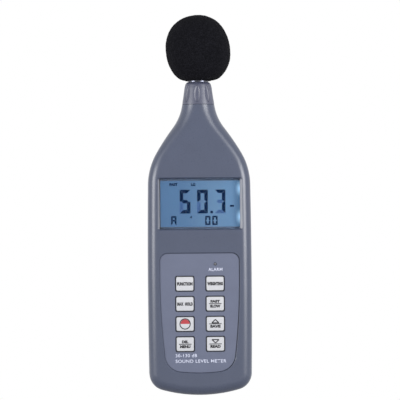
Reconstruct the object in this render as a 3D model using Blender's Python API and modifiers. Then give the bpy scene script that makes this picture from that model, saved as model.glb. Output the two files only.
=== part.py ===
"""Handheld sound level meter: a two-piece moulded housing with a round neck, a fluted nose cone and a
half-inch microphone under a foam ball, a backlit display, eight keys, and four AAA cells in the back.

Heights are measured from the housing's lowest point and depths from its parting plane. One empty
carries every piece, and puts the origin at the mouth of the tripod socket in the back.
"""
import math

import bmesh
import bpy
from mathutils import Vector

MM = 0.001
GAP = 0.3 * MM

# Housing. The outline of its right half is a chain of arcs from the bottom centre up to the neck:
# (radius, turn in degrees, steps), a negative radius bending outwards.
HALF_DEPTH = 13.0 * MM
WALL = 2.4 * MM
EDGE_RADIUS = 6.8 * MM
OUTLINE_ARCS = (
    (87.5 * MM, 15.8, 4),
    (10.7 * MM, 73.4, 6),
    (4000.0 * MM, 1.667, 2),
    (40.6 * MM, 28.95, 4),
    (150.0 * MM, 7.13, 2),
    (-31.2 * MM, -28.48, 4),
)
EDGE_STEPS = 4
NECK_BLEND = (142.0 * MM, 176.0 * MM)
NECK_BORE = 8.1 * MM

# Display window and the keypad's pocket.
WINDOW_Z = 117.9 * MM
WINDOW_SIZE = (49.5 * MM, 31.0 * MM)
WINDOW_MOUTH = (52.6 * MM, 32.1 * MM)
WINDOW_SLOPE = 1.5 * MM
KEYPAD_X = -0.3 * MM
PANEL_LOW = 14.3 * MM
PANEL_HIGH = 87.3 * MM
PANEL_ARCS = (
    (100.0 * MM, 7.0, 1),
    (10.6 * MM, 76.5, 6),
    (424.0 * MM, 6.5, 3),
)
PANEL_TOP_CORNER = 4.5 * MM
PANEL_BACK = 12.0 * MM
PANEL_FRONT = 12.5 * MM

# Keys: (name, column, row). Columns are -1 for left and 1 for right.
KEY_SIZE = (10.6 * MM, 8.5 * MM)
KEY_HOLE = (12.0 * MM, 9.9 * MM)
KEY_CORNER = 0.9 * MM
KEY_COLUMN_X = 9.3 * MM
KEY_ROWS = (68.85 * MM, 56.5 * MM, 44.15 * MM, 31.8 * MM)
KEY_FRONT = 13.0 * MM
KEY_FLANGE = (13.6 * MM, 11.0 * MM)
KEYS = (
    ("key_mode", -1, 0),
    ("key_weighting", 1, 0),
    ("key_hold", -1, 1),
    ("key_response", 1, 1),
    ("key_power", -1, 2),
    ("key_up", 1, 2),
    ("key_clear", -1, 3),
    ("key_down", 1, 3),
)
KEY_DEPTH = 3.2 * MM
FLANGE_DEPTHS = (2.7 * MM, 3.5 * MM)
POST_RADIUS = 2.0 * MM
POST_LENGTH = 3.6 * MM
MAT_LOW = (KEYPAD_X - 17.0 * MM, -4.7 * MM, 25.0 * MM)
MAT_HIGH = (KEYPAD_X + 17.0 * MM, -3.9 * MM, 76.0 * MM)
DOME = ((0.0, 5.8 * MM), (2.0 * MM, 5.8 * MM), (3.4 * MM, 4.5 * MM), (0.0, 4.5 * MM))
LED_X = KEYPAD_X + 9.5 * MM
LED_Z = 80.85 * MM
LED_TIP = 12.55 * MM
LED_BODY_RADIUS = 1.5 * MM
LED_RADIUS = 0.65 * MM

# Main board.
BOARD_FRONT = 3.6 * MM
BOARD_BACK = 2.0 * MM
BOARD_LOW = 10.0 * MM
BOARD_SHOULDER = 137.5 * MM
BOARD_TOP = 159.0 * MM
BOARD_HALF_WIDTH = 26.4 * MM
TONGUE_BOARD_HALF_WIDTH = 14.2 * MM
BOARD_PARTS = (
    ("main_chip", (-11.0 * MM, 122.0 * MM), (14.0 * MM, 14.0 * MM, 1.4 * MM), "black_plastic"),
    ("amplifier_chip", (0.0, 141.0 * MM), (5.0 * MM, 6.0 * MM, 1.5 * MM), "black_plastic"),
    ("crystal", (6.0 * MM, 128.0 * MM), (10.5 * MM, 4.5 * MM, 3.4 * MM), "steel"),
    ("mic_connector", (0.0, 154.5 * MM), (6.0 * MM, 4.5 * MM, 4.5 * MM), "key_white"),
)
LEAD_RADIUS = 0.8 * MM
LEAD_LOW = (0.0, 0.6 * MM, 157.1 * MM)
LEAD_HIGH = (0.0, 0.0, 189.5 * MM)
LEAD_SWAY = 1.6 * MM

# Display, behind the window: width, height, and how far its front and back are from the parting plane.
LCD_WINDOW = (52.2 * MM, 31.6 * MM, 10.3 * MM, 9.1 * MM)
LCD_FRAME = (55.2 * MM, 36.6 * MM, 8.8 * MM, 3.9 * MM)
FRAME_OPENING = (50.2 * MM, 28.4 * MM, 9.5 * MM, 3.0 * MM)
FRAME_POCKET = (52.6 * MM, 33.6 * MM, 8.0 * MM, 3.0 * MM)
LCD_GLASS = (52.0 * MM, 33.0 * MM, 7.7 * MM, 6.1 * MM)
LCD_BACKLIGHT = (51.0 * MM, 27.6 * MM, 5.8 * MM, 4.2 * MM)
ZEBRA_OFFSET = 15.5 * MM

# Microphone, nose cone and windscreen, all on the meter's long axis.
CONE_BASE = 179.45 * MM
CONE_TOP = 193.0 * MM
CONE_BORE = 6.7 * MM
CONE_SIDE = (
    (7.0 * MM, CONE_TOP),
    (7.92 * MM, 191.8 * MM),
    (8.45 * MM, 189.5 * MM),
    (9.05 * MM, 185.5 * MM),
    (9.55 * MM, 182.0 * MM),
    (9.9 * MM, CONE_BASE),
)
SPIGOT_RADIUS = 7.8 * MM
SPIGOT_LOW = 171.0 * MM
FLUTES = 8
FLUTE_TURN = -6.2
FLUTE_SIZE = (1.4 * MM, 2.3 * MM, 5.2 * MM)
FLUTE_Z = 185.8 * MM
BARREL_RADIUS = 6.3 * MM
BARREL_TOP = 192.9 * MM
COLLAR_LOW = 193.3 * MM
COLLAR_HIGH = 194.7 * MM
CAPSULE_LOW = 195.0 * MM
CAPSULE_TOP = 202.6 * MM
CAPSULE_RADIUS = 5.6 * MM
DIAPHRAGM_TOP = 203.3 * MM
MIC_RADIUS = 6.35 * MM
MIC_TOP = 208.4 * MM
FOAM_BOTTOM = 194.0 * MM
FOAM_TOP = 235.2 * MM
FOAM_RADIUS = 20.0 * MM
FOAM_FOOT = 9.2 * MM
FOAM_POWERS = (2.27, 2.5)
FOAM_WAIST = 212.4 * MM
FOAM_BORE = 7.0 * MM
FOAM_BORE_TOP = 210.0 * MM

# Battery compartment and its sliding cover.
CELL_RADIUS = 5.2 * MM
CELL_LENGTH = 44.5 * MM
CELL_TIP_RADIUS = 1.9 * MM
CELL_PITCH = 10.7 * MM
CELL_Y = 5.4 * MM
TUB_LOW = 9.5 * MM
TUB_HIGH = 61.5 * MM
TUB_HALF_WIDTH = 21.9 * MM
TUB_FLOOR = -0.2 * MM
COVER_TOP = 66.0 * MM
COVER_LOW = 3.2 * MM
COVER_HALF_WIDTH = 22.9 * MM
COVER_INNER = 11.2 * MM
TONGUE_HALF_WIDTH = 24.0 * MM
TONGUE_OUTER = 12.0 * MM

# Fastenings: (x, z) of the screws, and each kind's head radius, head height, shank radius and shank length.
HOUSING_SCREWS = (
    (-21.5 * MM, 74.0 * MM),
    (21.5 * MM, 74.0 * MM),
    (-19.0 * MM, 143.0 * MM),
    (19.0 * MM, 143.0 * MM),
)
BOARD_SCREWS = (
    (-23.0 * MM, 92.0 * MM),
    (23.0 * MM, 92.0 * MM),
    (-10.5 * MM, 150.0 * MM),
    (10.5 * MM, 150.0 * MM),
)
LONG_SCREW = (2.5 * MM, 1.8 * MM, 1.25 * MM, 11.5 * MM)
SHORT_SCREW = (2.0 * MM, 1.2 * MM, 0.8 * MM, 6.5 * MM)
RECESS_HALF_WIDTH = 0.3 * MM
SCREW_SEAT = 4.0 * MM
SOCKET_Z = 98.0 * MM
SOCKET_RADIUS = 3.1 * MM
INSERT_RADIUS = 4.6 * MM
INSERT_MOUTH = 12.9 * MM
INSERT_END = 3.0 * MM

# Sockets in the right side.
JACK_Z = 112.0 * MM
TRIMMER_Z = 84.0 * MM
SIDE_HOLE_Y = 1.5 * MM
SOCKET_BODY_Y = (-1.7 * MM, 4.7 * MM)
JACK_X = (17.0 * MM, 28.4 * MM)
JACK_HALF_HEIGHT = 4.0 * MM
JACK_NOSE_RADIUS = 3.0 * MM
JACK_BORE = 1.8 * MM
TRIMMER_X = (19.0 * MM, 25.6 * MM)
TRIMMER_HALF_HEIGHT = 3.5 * MM
ROTOR_RADIUS = 2.1 * MM
ROTOR_LENGTH = 4.6 * MM

UP = (0.0, 0.0, 0.0)
FRONTWARD = (math.pi / 2, 0.0, 0.0)
BACKWARD = (-math.pi / 2, 0.0, 0.0)
RIGHTWARD = (0.0, math.pi / 2, 0.0)

for old in list(bpy.data.objects):
    bpy.data.objects.remove(old, do_unlink=True)

PARTS = bpy.data.collections.new("sound_level_meter")
TOOLS = bpy.data.collections.new("cutters")
for group in (PARTS, TOOLS):
    bpy.context.scene.collection.children.link(group)

FRAME = bpy.data.objects.new("meter_frame", None)
FRAME.location = (0.0, -HALF_DEPTH, -SOCKET_Z)
PARTS.objects.link(FRAME)


# ---------------------------------------------------------------- materials

def paint(name, rgb, roughness, metallic=0.0):
    """A plain Principled material."""
    made = bpy.data.materials.new(name)
    made.use_nodes = True
    shader = made.node_tree.nodes["Principled BSDF"]
    shader.inputs["Base Color"].default_value = (*rgb, 1.0)
    shader.inputs["Roughness"].default_value = roughness
    shader.inputs["Metallic"].default_value = metallic
    made.diffuse_color = (*rgb, 1.0)
    return made


HOUSING_GREY = paint("housing_grey", (0.125, 0.14, 0.195), 0.42)
CONE_GREY = paint("cone_grey", (0.18, 0.19, 0.24), 0.38)
PANEL_BLUE = paint("panel_blue", (0.18, 0.2, 0.28), 0.5)
KEY_WHITE = paint("key_white", (0.78, 0.8, 0.86), 0.45)
KEY_DARK = paint("mat_rubber", (0.035, 0.04, 0.06), 0.8)
FOAM_BLACK = paint("foam_black", (0.012, 0.012, 0.015), 1.0)
DARK_METAL = paint("dark_metal", (0.12, 0.12, 0.13), 0.3, 1.0)
STEEL = paint("steel", (0.56, 0.57, 0.58), 0.3, 1.0)
BRASS = paint("brass", (0.68, 0.5, 0.24), 0.35, 1.0)
CLEAR = paint("clear_window", (0.3, 0.42, 0.58), 0.08)
GLASS = paint("display_glass", (0.13, 0.23, 0.36), 0.1)
BACKLIGHT = paint("backlight", (0.35, 0.55, 0.8), 0.5)
BLACK_PLASTIC = paint("black_plastic", (0.02, 0.02, 0.022), 0.4)
BOARD_GREEN = paint("board_green", (0.02, 0.12, 0.05), 0.45)
LED_RED = paint("led_red", (0.5, 0.03, 0.03), 0.25)
CELL_WRAP = paint("cell_wrap", (0.04, 0.045, 0.05), 0.35)


# ---------------------------------------------------------------- modelling helpers

def add_object(name, data, material, location=(0, 0, 0), rotation=UP):
    """One object on the meter's frame. Without a material it is a tool for a Boolean."""
    made = bpy.data.objects.new(name, data)
    made.parent = FRAME
    made.location = location
    made.rotation_euler = rotation
    if material is None:
        made.hide_render = True
        made.display_type = "WIRE"
        TOOLS.objects.link(made)
    else:
        if not data.materials:
            data.materials.append(material)
        PARTS.objects.link(made)
    return made


def mesh_from(bm, name):
    """Write a bmesh to a new mesh, with faces pointing out and round stretches smooth."""
    bmesh.ops.recalc_face_normals(bm, faces=bm.faces)
    mesh = bpy.data.meshes.new(name)
    bm.to_mesh(mesh)
    bm.free()
    mesh.shade_smooth()
    mesh.set_sharp_from_angle(angle=math.radians(35))
    return mesh


def edges_along(bm, axis):
    """The edges of a box that run along one axis."""
    others = [i for i in range(3) if i != axis]
    found = []
    for edge in bm.edges:
        step = edge.verts[1].co - edge.verts[0].co
        if all(abs(step[i]) < 1e-7 for i in others):
            found.append(edge)
    return found


def block(name, low, high, material=None, corner=0.0, axis=1, steps=3):
    """A box between two corners, with its edges along one axis rounded."""
    low = Vector(low)
    high = Vector(high)
    bm = bmesh.new()
    bmesh.ops.create_cube(bm, size=1.0)
    bmesh.ops.scale(bm, vec=high - low, verts=bm.verts)
    if corner:
        bmesh.ops.bevel(bm, geom=edges_along(bm, axis), offset=corner, segments=steps, profile=0.5,
                        affect="EDGES")
    return add_object(name, mesh_from(bm, name), material, (low + high) / 2)


def rod(name, radius, length, location, rotation, material=None, sides=20):
    """A cylinder that starts at a place and runs along an aimed axis."""
    bm = bmesh.new()
    bmesh.ops.create_cone(bm, cap_ends=True, segments=sides, radius1=radius, radius2=radius, depth=length)
    bmesh.ops.translate(bm, vec=(0.0, 0.0, length / 2), verts=bm.verts)
    return add_object(name, mesh_from(bm, name), material, location, rotation)


def turned(name, profile, location, rotation, material=None, sides=24, ring=False):
    """A profile of (radius, height) points, run down its outer side, turned about its axis."""
    bm = bmesh.new()
    points = [bm.verts.new((radius, 0.0, height)) for radius, height in profile]
    for upper, lower in zip(points, points[1:]):
        bm.edges.new((upper, lower))
    if ring:
        bm.edges.new((points[-1], points[0]))
    mesh = bpy.data.meshes.new(name)
    bm.to_mesh(mesh)
    bm.free()
    made = add_object(name, mesh, material, location, rotation)
    screw = made.modifiers.new("turn", "SCREW")
    screw.axis = "Z"
    screw.steps = sides
    screw.render_steps = sides
    screw.use_merge_vertices = True
    screw.merge_threshold = 0.01 * MM
    return made


def boolean(target, tool, operation="DIFFERENCE"):
    """Cut, join or clip a piece with another object."""
    step = target.modifiers.new(tool.name, "BOOLEAN")
    step.operation = operation
    step.solver = "EXACT"
    step.object = tool
    return target


def settled_mesh(made, name):
    """The mesh that an object's modifiers make, so that copies can share it."""
    bpy.context.view_layer.update()
    graph = bpy.context.evaluated_depsgraph_get()
    mesh = bpy.data.meshes.new_from_object(made.evaluated_get(graph))
    mesh.name = name
    mesh.transform(made.matrix_basis)
    bpy.data.objects.remove(made, do_unlink=True)
    return mesh


# ---------------------------------------------------------------- housing

def outline_stations(arcs):
    """Walk the chain of arcs, and give each station's place and its outward direction."""
    place = Vector((0.0, 0.0))
    heading = 0.0
    stations = [(place.copy(), Vector((0.0, -1.0)))]
    for radius, turn, steps in arcs:
        for _ in range(steps):
            centre = place + radius * Vector((-math.sin(heading), math.cos(heading)))
            heading += math.radians(turn) / steps
            outward = Vector((math.sin(heading), -math.cos(heading)))
            place = centre + radius * outward
            stations.append((place.copy(), outward))
    return stations


def ease(value, start, end):
    """A smooth step from 0 at the start to 1 at the end."""
    share = min(max((value - start) / (end - start), 0.0), 1.0)
    return share * share * (3.0 - 2.0 * share)


def section(place, outward, inset, side, neck_radius, parting):
    """One section of the housing, from its right parting edge round the face to its left one."""
    blend = ease(place.y, *NECK_BLEND)
    half_depth = HALF_DEPTH + (neck_radius - HALF_DEPTH) * blend - inset
    edge = EDGE_RADIUS + (neck_radius - EDGE_RADIUS) * blend - inset
    inward = -(outward * (1.0 - blend) + Vector((1.0, 0.0)) * blend).normalized()
    if place.x < 1e-6:
        inward = Vector((0.0, 1.0))
    start = place + inward * inset
    right = [(start.x, parting, start.y)]
    for step in range(EDGE_STEPS + 1):
        angle = math.pi / 2 * step / EDGE_STEPS
        moved = start + inward * edge * (1.0 - math.cos(angle))
        depth = half_depth - edge + edge * math.sin(angle)
        right.append((max(moved.x, 0.0), max(depth, parting), moved.y))
    left = [(-x, y, z) for x, y, z in reversed(right)]
    return [(x, side * y, z) for x, y, z in right + left]


def housing_solid(name, side, inset=0.0, parting=GAP / 2, drop_last=0, material=None):
    """A closed half of the housing, lofted from its sections: side -1 is the front, 1 the back."""
    stations = outline_stations(OUTLINE_ARCS)
    neck_radius = stations[-1][0].x
    if drop_last:
        stations = stations[:-drop_last]
    bm = bmesh.new()
    rows = []
    for place, outward in stations:
        points = section(place, outward, inset, side, neck_radius, parting)
        rows.append([bm.verts.new(point) for point in points])
    for lower, upper in zip(rows, rows[1:]):
        for i in range(len(lower) - 1):
            bm.faces.new((lower[i], lower[i + 1], upper[i + 1], upper[i]))
    bm.faces.new(rows[-1])
    bm.faces.new([row[0] for row in rows] + [row[-1] for row in reversed(rows)])
    bmesh.ops.remove_doubles(bm, verts=bm.verts, dist=0.001 * MM)
    return add_object(name, mesh_from(bm, name), material)


def window_cutter():
    """The display's opening: straight through the wall, with a sloped mouth."""
    bm = bmesh.new()
    bmesh.ops.create_cube(bm, size=1.0)
    bmesh.ops.scale(bm, vec=(WINDOW_MOUTH[0], 2 * WINDOW_SLOPE, WINDOW_MOUTH[1]), verts=bm.verts)
    for vert in bm.verts:
        if vert.co.y > 0.0:
            vert.co.x -= math.copysign(WINDOW_MOUTH[0] - WINDOW_SIZE[0], vert.co.x)
            vert.co.z -= math.copysign(WINDOW_MOUTH[1] - WINDOW_SIZE[1], vert.co.z)
    mouth = add_object("window_mouth", mesh_from(bm, "window_mouth"), None, (0.0, -HALF_DEPTH, WINDOW_Z))
    half = (WINDOW_SIZE[0] / 2, WINDOW_SIZE[1] / 2)
    through = block("window_hole", (-half[0], -HALF_DEPTH - MM, WINDOW_Z - half[1]),
                    (half[0], -HALF_DEPTH + 2 * WALL, WINDOW_Z + half[1]), corner=0.8 * MM)
    return mouth, through


def panel_outline(grow):
    """The keypad panel's outline: a bowed bottom with large corners, and sides that lean out to small ones."""
    right = []
    for place, outward in outline_stations(PANEL_ARCS):
        right.append(place + Vector((0.0, PANEL_LOW)) + outward * grow)
    corner = Vector((right[-1].x - grow - PANEL_TOP_CORNER, PANEL_HIGH - PANEL_TOP_CORNER))
    for step in range(5):
        angle = math.pi / 2 * step / 4
        right.append(corner + (PANEL_TOP_CORNER + grow) * Vector((math.cos(angle), math.sin(angle))))
    left = [Vector((-point.x, point.y)) for point in reversed(right[1:])]
    return [point + Vector((KEYPAD_X, 0.0)) for point in right + left]


def panel_shape(name, grow, front, back, material=None):
    """A slab with the keypad panel's outline."""
    bm = bmesh.new()
    rim = [bm.verts.new((point.x, -front, point.y)) for point in panel_outline(grow)]
    face = bm.faces.new(rim)
    pushed = bmesh.ops.extrude_face_region(bm, geom=[face])["geom"]
    back_verts = [item for item in pushed if isinstance(item, bmesh.types.BMVert)]
    bmesh.ops.translate(bm, vec=(0.0, front - back, 0.0), verts=back_verts)
    return add_object(name, mesh_from(bm, name), material)


def key_places():
    """Each key's name, with the middle of its face."""
    return [(name, KEYPAD_X + column * KEY_COLUMN_X, KEY_ROWS[row]) for name, column, row in KEYS]


def cut_key_holes(target, front, back):
    """Cut the eight key holes and the lamp's hole through a wall."""
    for name, x, z in key_places():
        hole = block(f"{target.name}_{name}_hole", (x - KEY_HOLE[0] / 2, -front, z - KEY_HOLE[1] / 2),
                     (x + KEY_HOLE[0] / 2, -back, z + KEY_HOLE[1] / 2), corner=KEY_CORNER, steps=2)
        boolean(target, hole)
    lamp = rod(f"{target.name}_lamp_hole", LED_RADIUS + GAP, front - back, (LED_X, -back, LED_Z), FRONTWARD,
               sides=12)
    boolean(target, lamp)


def cut_side_holes(target):
    """Cut the neck's bore, and the round holes for the trimmer and the output jack."""
    boolean(target, rod(f"{target.name}_neck_bore", NECK_BORE, 20 * MM, (0.0, 0.0, 163 * MM), UP, sides=32))
    for name, z, radius in (("jack", JACK_Z, 3.3 * MM), ("trimmer", TRIMMER_Z, 2.6 * MM)):
        hole = rod(f"{target.name}_{name}_hole", radius, 8 * MM, (27 * MM, SIDE_HOLE_Y, z), RIGHTWARD, sides=16)
        boolean(target, hole)


def front_housing():
    """The front shell, with its window, keypad pocket, key holes and screw posts."""
    shell = housing_solid("front_housing", -1, material=HOUSING_GREY)
    boolean(shell, housing_solid("front_cavity", -1, inset=WALL, parting=-2 * MM, drop_last=3))
    inner_face = HALF_DEPTH - WALL / 2
    posts = [(place, 3.2 * MM, GAP / 2, 1.6 * MM, 8.3 * MM) for place in HOUSING_SCREWS]
    posts += [(place, 2.4 * MM, BOARD_FRONT + GAP, 1.1 * MM, 9.0 * MM) for place in BOARD_SCREWS]
    for number, ((x, z), radius, foot, pilot, depth) in enumerate(posts, 1):
        post = rod(f"front_post_{number}", radius, inner_face - foot, (x, -foot, z), FRONTWARD, sides=16)
        boolean(shell, post, "UNION")
        bore = rod(f"front_pilot_{number}", pilot, depth - foot + MM, (x, -foot + MM, z), FRONTWARD, sides=12)
        boolean(shell, bore)
    for tool in window_cutter():
        boolean(shell, tool)
    boolean(shell, panel_shape("panel_pocket", GAP, HALF_DEPTH + MM, PANEL_BACK - GAP))
    cut_key_holes(shell, HALF_DEPTH + MM, HALF_DEPTH - 2 * WALL)
    cut_side_holes(shell)
    return shell


def rear_housing():
    """The rear shell, with the battery tub, the cover's slot and grooves, and the screw bosses."""
    shell = housing_solid("rear_housing", 1, material=HOUSING_GREY)
    boolean(shell, housing_solid("rear_cavity", 1, inset=WALL, parting=-2 * MM, drop_last=3))
    tub = block("tub_block", (-25.6 * MM, GAP, 2 * MM), (25.6 * MM, HALF_DEPTH, 68.4 * MM))
    boolean(tub, housing_solid("tub_limit", 1, inset=WALL / 2), "INTERSECT")
    boolean(shell, tub, "UNION")
    boolean(shell, block("tub_floor", (-24.2 * MM, TUB_FLOOR - 1.2 * MM, 7.2 * MM),
                         (24.2 * MM, 2 * MM, 63.8 * MM)), "UNION")
    boolean(shell, block("tub_pocket", (-TUB_HALF_WIDTH, TUB_FLOOR, TUB_LOW),
                         (TUB_HALF_WIDTH, HALF_DEPTH + MM, TUB_HIGH)))
    slot_half = COVER_HALF_WIDTH + GAP
    groove_half = TONGUE_HALF_WIDTH + GAP
    slot_floor = COVER_INNER - GAP
    boolean(shell, block("cover_slot", (-slot_half, slot_floor, -MM), (slot_half, 15 * MM, COVER_TOP + GAP)))
    boolean(shell, block("cover_grooves", (-groove_half, slot_floor + 0.02 * MM, -1.5 * MM),
                         (groove_half, TONGUE_OUTER + GAP, COVER_TOP + GAP - 0.05 * MM)))
    for number, (x, z) in enumerate(HOUSING_SCREWS, 1):
        boss = rod(f"rear_boss_{number}", 4.3 * MM, 11.6 * MM, (x, GAP / 2, z), BACKWARD, sides=20)
        boolean(shell, boss, "UNION")
        bore = turned(f"rear_bore_{number}", ((0.0, 15 * MM), (3.0 * MM, 15 * MM), (3.0 * MM, SCREW_SEAT),
                      (1.6 * MM, SCREW_SEAT), (1.6 * MM, -MM), (0.0, -MM)), (x, 0.0, z), BACKWARD, sides=16)
        boolean(shell, bore)
    socket_boss = rod("socket_boss", 6.8 * MM, 10.4 * MM, (0.0, 1.4 * MM, SOCKET_Z), BACKWARD, sides=24)
    boolean(shell, socket_boss, "UNION")
    socket_bore = rod("socket_bore", INSERT_RADIUS + GAP, 12 * MM, (0.0, 2.7 * MM, SOCKET_Z), BACKWARD, sides=24)
    boolean(shell, socket_bore)
    cut_side_holes(shell)
    return shell


def battery_cover():
    """The sliding cover: a slab clipped by the housing's outer surface, with a tongue on each side."""
    cover = block("battery_cover", (-COVER_HALF_WIDTH, COVER_INNER, COVER_LOW),
                  (COVER_HALF_WIDTH, HALF_DEPTH + MM, COVER_TOP), HOUSING_GREY)
    tongue = block("cover_tongues", (-TONGUE_HALF_WIDTH, COVER_INNER + 0.02 * MM, COVER_LOW + 0.5 * MM),
                   (TONGUE_HALF_WIDTH, TONGUE_OUTER, COVER_TOP - 0.5 * MM))
    boolean(cover, tongue, "UNION")
    boolean(cover, housing_solid("cover_limit", 1, parting=-MM), "INTERSECT")
    thumb = rod("thumb_dish", 22 * MM, 15 * MM, (-7.5 * MM, HALF_DEPTH + 21.2 * MM, 54 * MM), RIGHTWARD, sides=64)
    boolean(cover, thumb)
    return cover


# ---------------------------------------------------------------- nose, microphone and windscreen

def nose_cone():
    """The fluted cone that closes the neck, with a spigot that sits inside both shells."""
    profile = (
        (CONE_BORE, CONE_TOP),
        *CONE_SIDE,
        (SPIGOT_RADIUS, CONE_BASE),
        (SPIGOT_RADIUS, SPIGOT_LOW),
        (CONE_BORE, SPIGOT_LOW),
    )
    cone = turned("nose_cone", profile, (0, 0, 0), UP, CONE_GREY, sides=48, ring=True)
    for number in range(FLUTES):
        angle = 2 * math.pi * number / FLUTES - math.pi / 2 + math.radians(FLUTE_TURN)
        bm = bmesh.new()
        bmesh.ops.create_uvsphere(bm, u_segments=12, v_segments=8, radius=1.0)
        bmesh.ops.scale(bm, vec=FLUTE_SIZE, verts=bm.verts)
        place = (9.7 * MM * math.cos(angle), 9.7 * MM * math.sin(angle), FLUTE_Z)
        flute = add_object(f"flute_{number + 1}", mesh_from(bm, "flute"), None, place, (0.0, 0.0, angle))
        boolean(cone, flute)
    return cone


def microphone():
    """The half-inch microphone: barrel, collar, capsule, diaphragm and slotted protection grid."""
    turned("mic_barrel", ((0.0, BARREL_TOP), (BARREL_RADIUS, BARREL_TOP), (BARREL_RADIUS, 170.0 * MM),
           (4.8 * MM, 170.0 * MM), (4.8 * MM, 190.0 * MM), (0.0, 190.0 * MM)), (0, 0, 0), UP, DARK_METAL)
    turned("mic_collar", ((4.6 * MM, COLLAR_HIGH), (MIC_RADIUS, COLLAR_HIGH), (MIC_RADIUS, COLLAR_LOW),
           (4.6 * MM, COLLAR_LOW)), (0, 0, 0), UP, DARK_METAL, sides=32, ring=True)
    turned("mic_capsule", ((0.0, CAPSULE_TOP), (CAPSULE_RADIUS, CAPSULE_TOP), (CAPSULE_RADIUS, 195.4 * MM),
           (4.2 * MM, CAPSULE_LOW), (0.0, CAPSULE_LOW)), (0, 0, 0), UP, BLACK_PLASTIC)
    turned("mic_diaphragm", ((0.0, DIAPHRAGM_TOP), (5.4 * MM, DIAPHRAGM_TOP), (5.4 * MM, CAPSULE_TOP + GAP),
           (0.0, CAPSULE_TOP + GAP)), (0, 0, 0), UP, STEEL)
    grid = turned("mic_grid", ((0.0, MIC_TOP), (5.6 * MM, MIC_TOP), (MIC_RADIUS, MIC_TOP - 0.7 * MM),
                  (MIC_RADIUS, 195.0 * MM), (5.9 * MM, 195.0 * MM), (5.9 * MM, MIC_TOP - 0.9 * MM),
                  (0.0, MIC_TOP - 0.9 * MM)), (0, 0, 0), UP, DARK_METAL)
    for number in range(-2, 3):
        x = 1.9 * MM * number
        half = math.sqrt((4.9 * MM) ** 2 - x * x)
        slot = block(f"grid_slot_{number + 3}", (x - 0.5 * MM, -half, MIC_TOP - 2 * MM),
                     (x + 0.5 * MM, half, MIC_TOP + MM))
        boolean(grid, slot)


def windscreen():
    """The foam ball: a superellipse turned about the axis, with a bore for the microphone."""
    upper_power, lower_power = (2 / power for power in FOAM_POWERS)
    upper_height = FOAM_TOP - FOAM_WAIST
    lower_height = FOAM_WAIST - FOAM_BOTTOM
    profile = [(0.0, FOAM_TOP)]
    for step in range(1, 9):
        angle = math.pi / 2 * (1 - step / 8)
        profile.append((FOAM_RADIUS * math.cos(angle) ** upper_power,
                        FOAM_WAIST + upper_height * math.sin(angle) ** upper_power))
    for step in range(1, 7):
        angle = math.pi / 2 * step / 8
        profile.append((FOAM_RADIUS * math.cos(angle) ** lower_power,
                        FOAM_WAIST - lower_height * math.sin(angle) ** lower_power))
    profile.append((FOAM_FOOT, FOAM_BOTTOM))
    profile.append((FOAM_BORE, FOAM_BOTTOM))
    profile.append((FOAM_BORE, FOAM_BORE_TOP))
    profile.append((0.0, FOAM_BORE_TOP))
    return turned("windscreen", profile, (0, 0, 0), UP, FOAM_BLACK, sides=32)


# ---------------------------------------------------------------- display and keypad

def display():
    """Window, holder, glass, backlight and the two rubber connector strips."""
    def pane(name, sizes, material=None, corner=0.8 * MM):
        width, height, front, back = sizes
        return block(name, (-width / 2, -front, WINDOW_Z - height / 2), (width / 2, -back, WINDOW_Z + height / 2),
                     material, corner, steps=2)

    pane("lcd_window", LCD_WINDOW, CLEAR)
    holder = pane("lcd_frame", LCD_FRAME, BLACK_PLASTIC)
    boolean(holder, pane("frame_opening", FRAME_OPENING))
    boolean(holder, pane("frame_pocket", FRAME_POCKET, corner=0))
    pane("lcd_glass", LCD_GLASS, GLASS, corner=0)
    pane("lcd_backlight", LCD_BACKLIGHT, BACKLIGHT)
    for name, z in (("zebra_strip_upper", WINDOW_Z + ZEBRA_OFFSET), ("zebra_strip_lower", WINDOW_Z - ZEBRA_OFFSET)):
        block(name, (-24 * MM, -5.8 * MM, z - 0.9 * MM), (24 * MM, -3.9 * MM, z + 0.9 * MM), KEY_DARK)


def key_mesh():
    """One key: the cap, the flange that keeps it in, and the post that presses the dome."""
    cap = block("key_cap", (-KEY_SIZE[0] / 2, 0.0, -KEY_SIZE[1] / 2), (KEY_SIZE[0] / 2, KEY_DEPTH, KEY_SIZE[1] / 2),
                corner=KEY_CORNER, steps=2)
    flange = block("key_flange", (-KEY_FLANGE[0] / 2, FLANGE_DEPTHS[0], -KEY_FLANGE[1] / 2),
                   (KEY_FLANGE[0] / 2, FLANGE_DEPTHS[1], KEY_FLANGE[1] / 2))
    boolean(cap, flange, "UNION")
    boolean(cap, rod("key_post", POST_RADIUS, POST_LENGTH, (0.0, 3.0 * MM, 0.0), BACKWARD, sides=12), "UNION")
    cap.parent = None
    cap.location = (0.0, KEY_DEPTH / 2, 0.0)
    for tool in ("key_flange", "key_post"):
        bpy.data.objects[tool].parent = None
    mesh = settled_mesh(cap, "key")
    for tool in ("key_flange", "key_post"):
        bpy.data.objects.remove(bpy.data.objects[tool], do_unlink=True)
    return mesh


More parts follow.
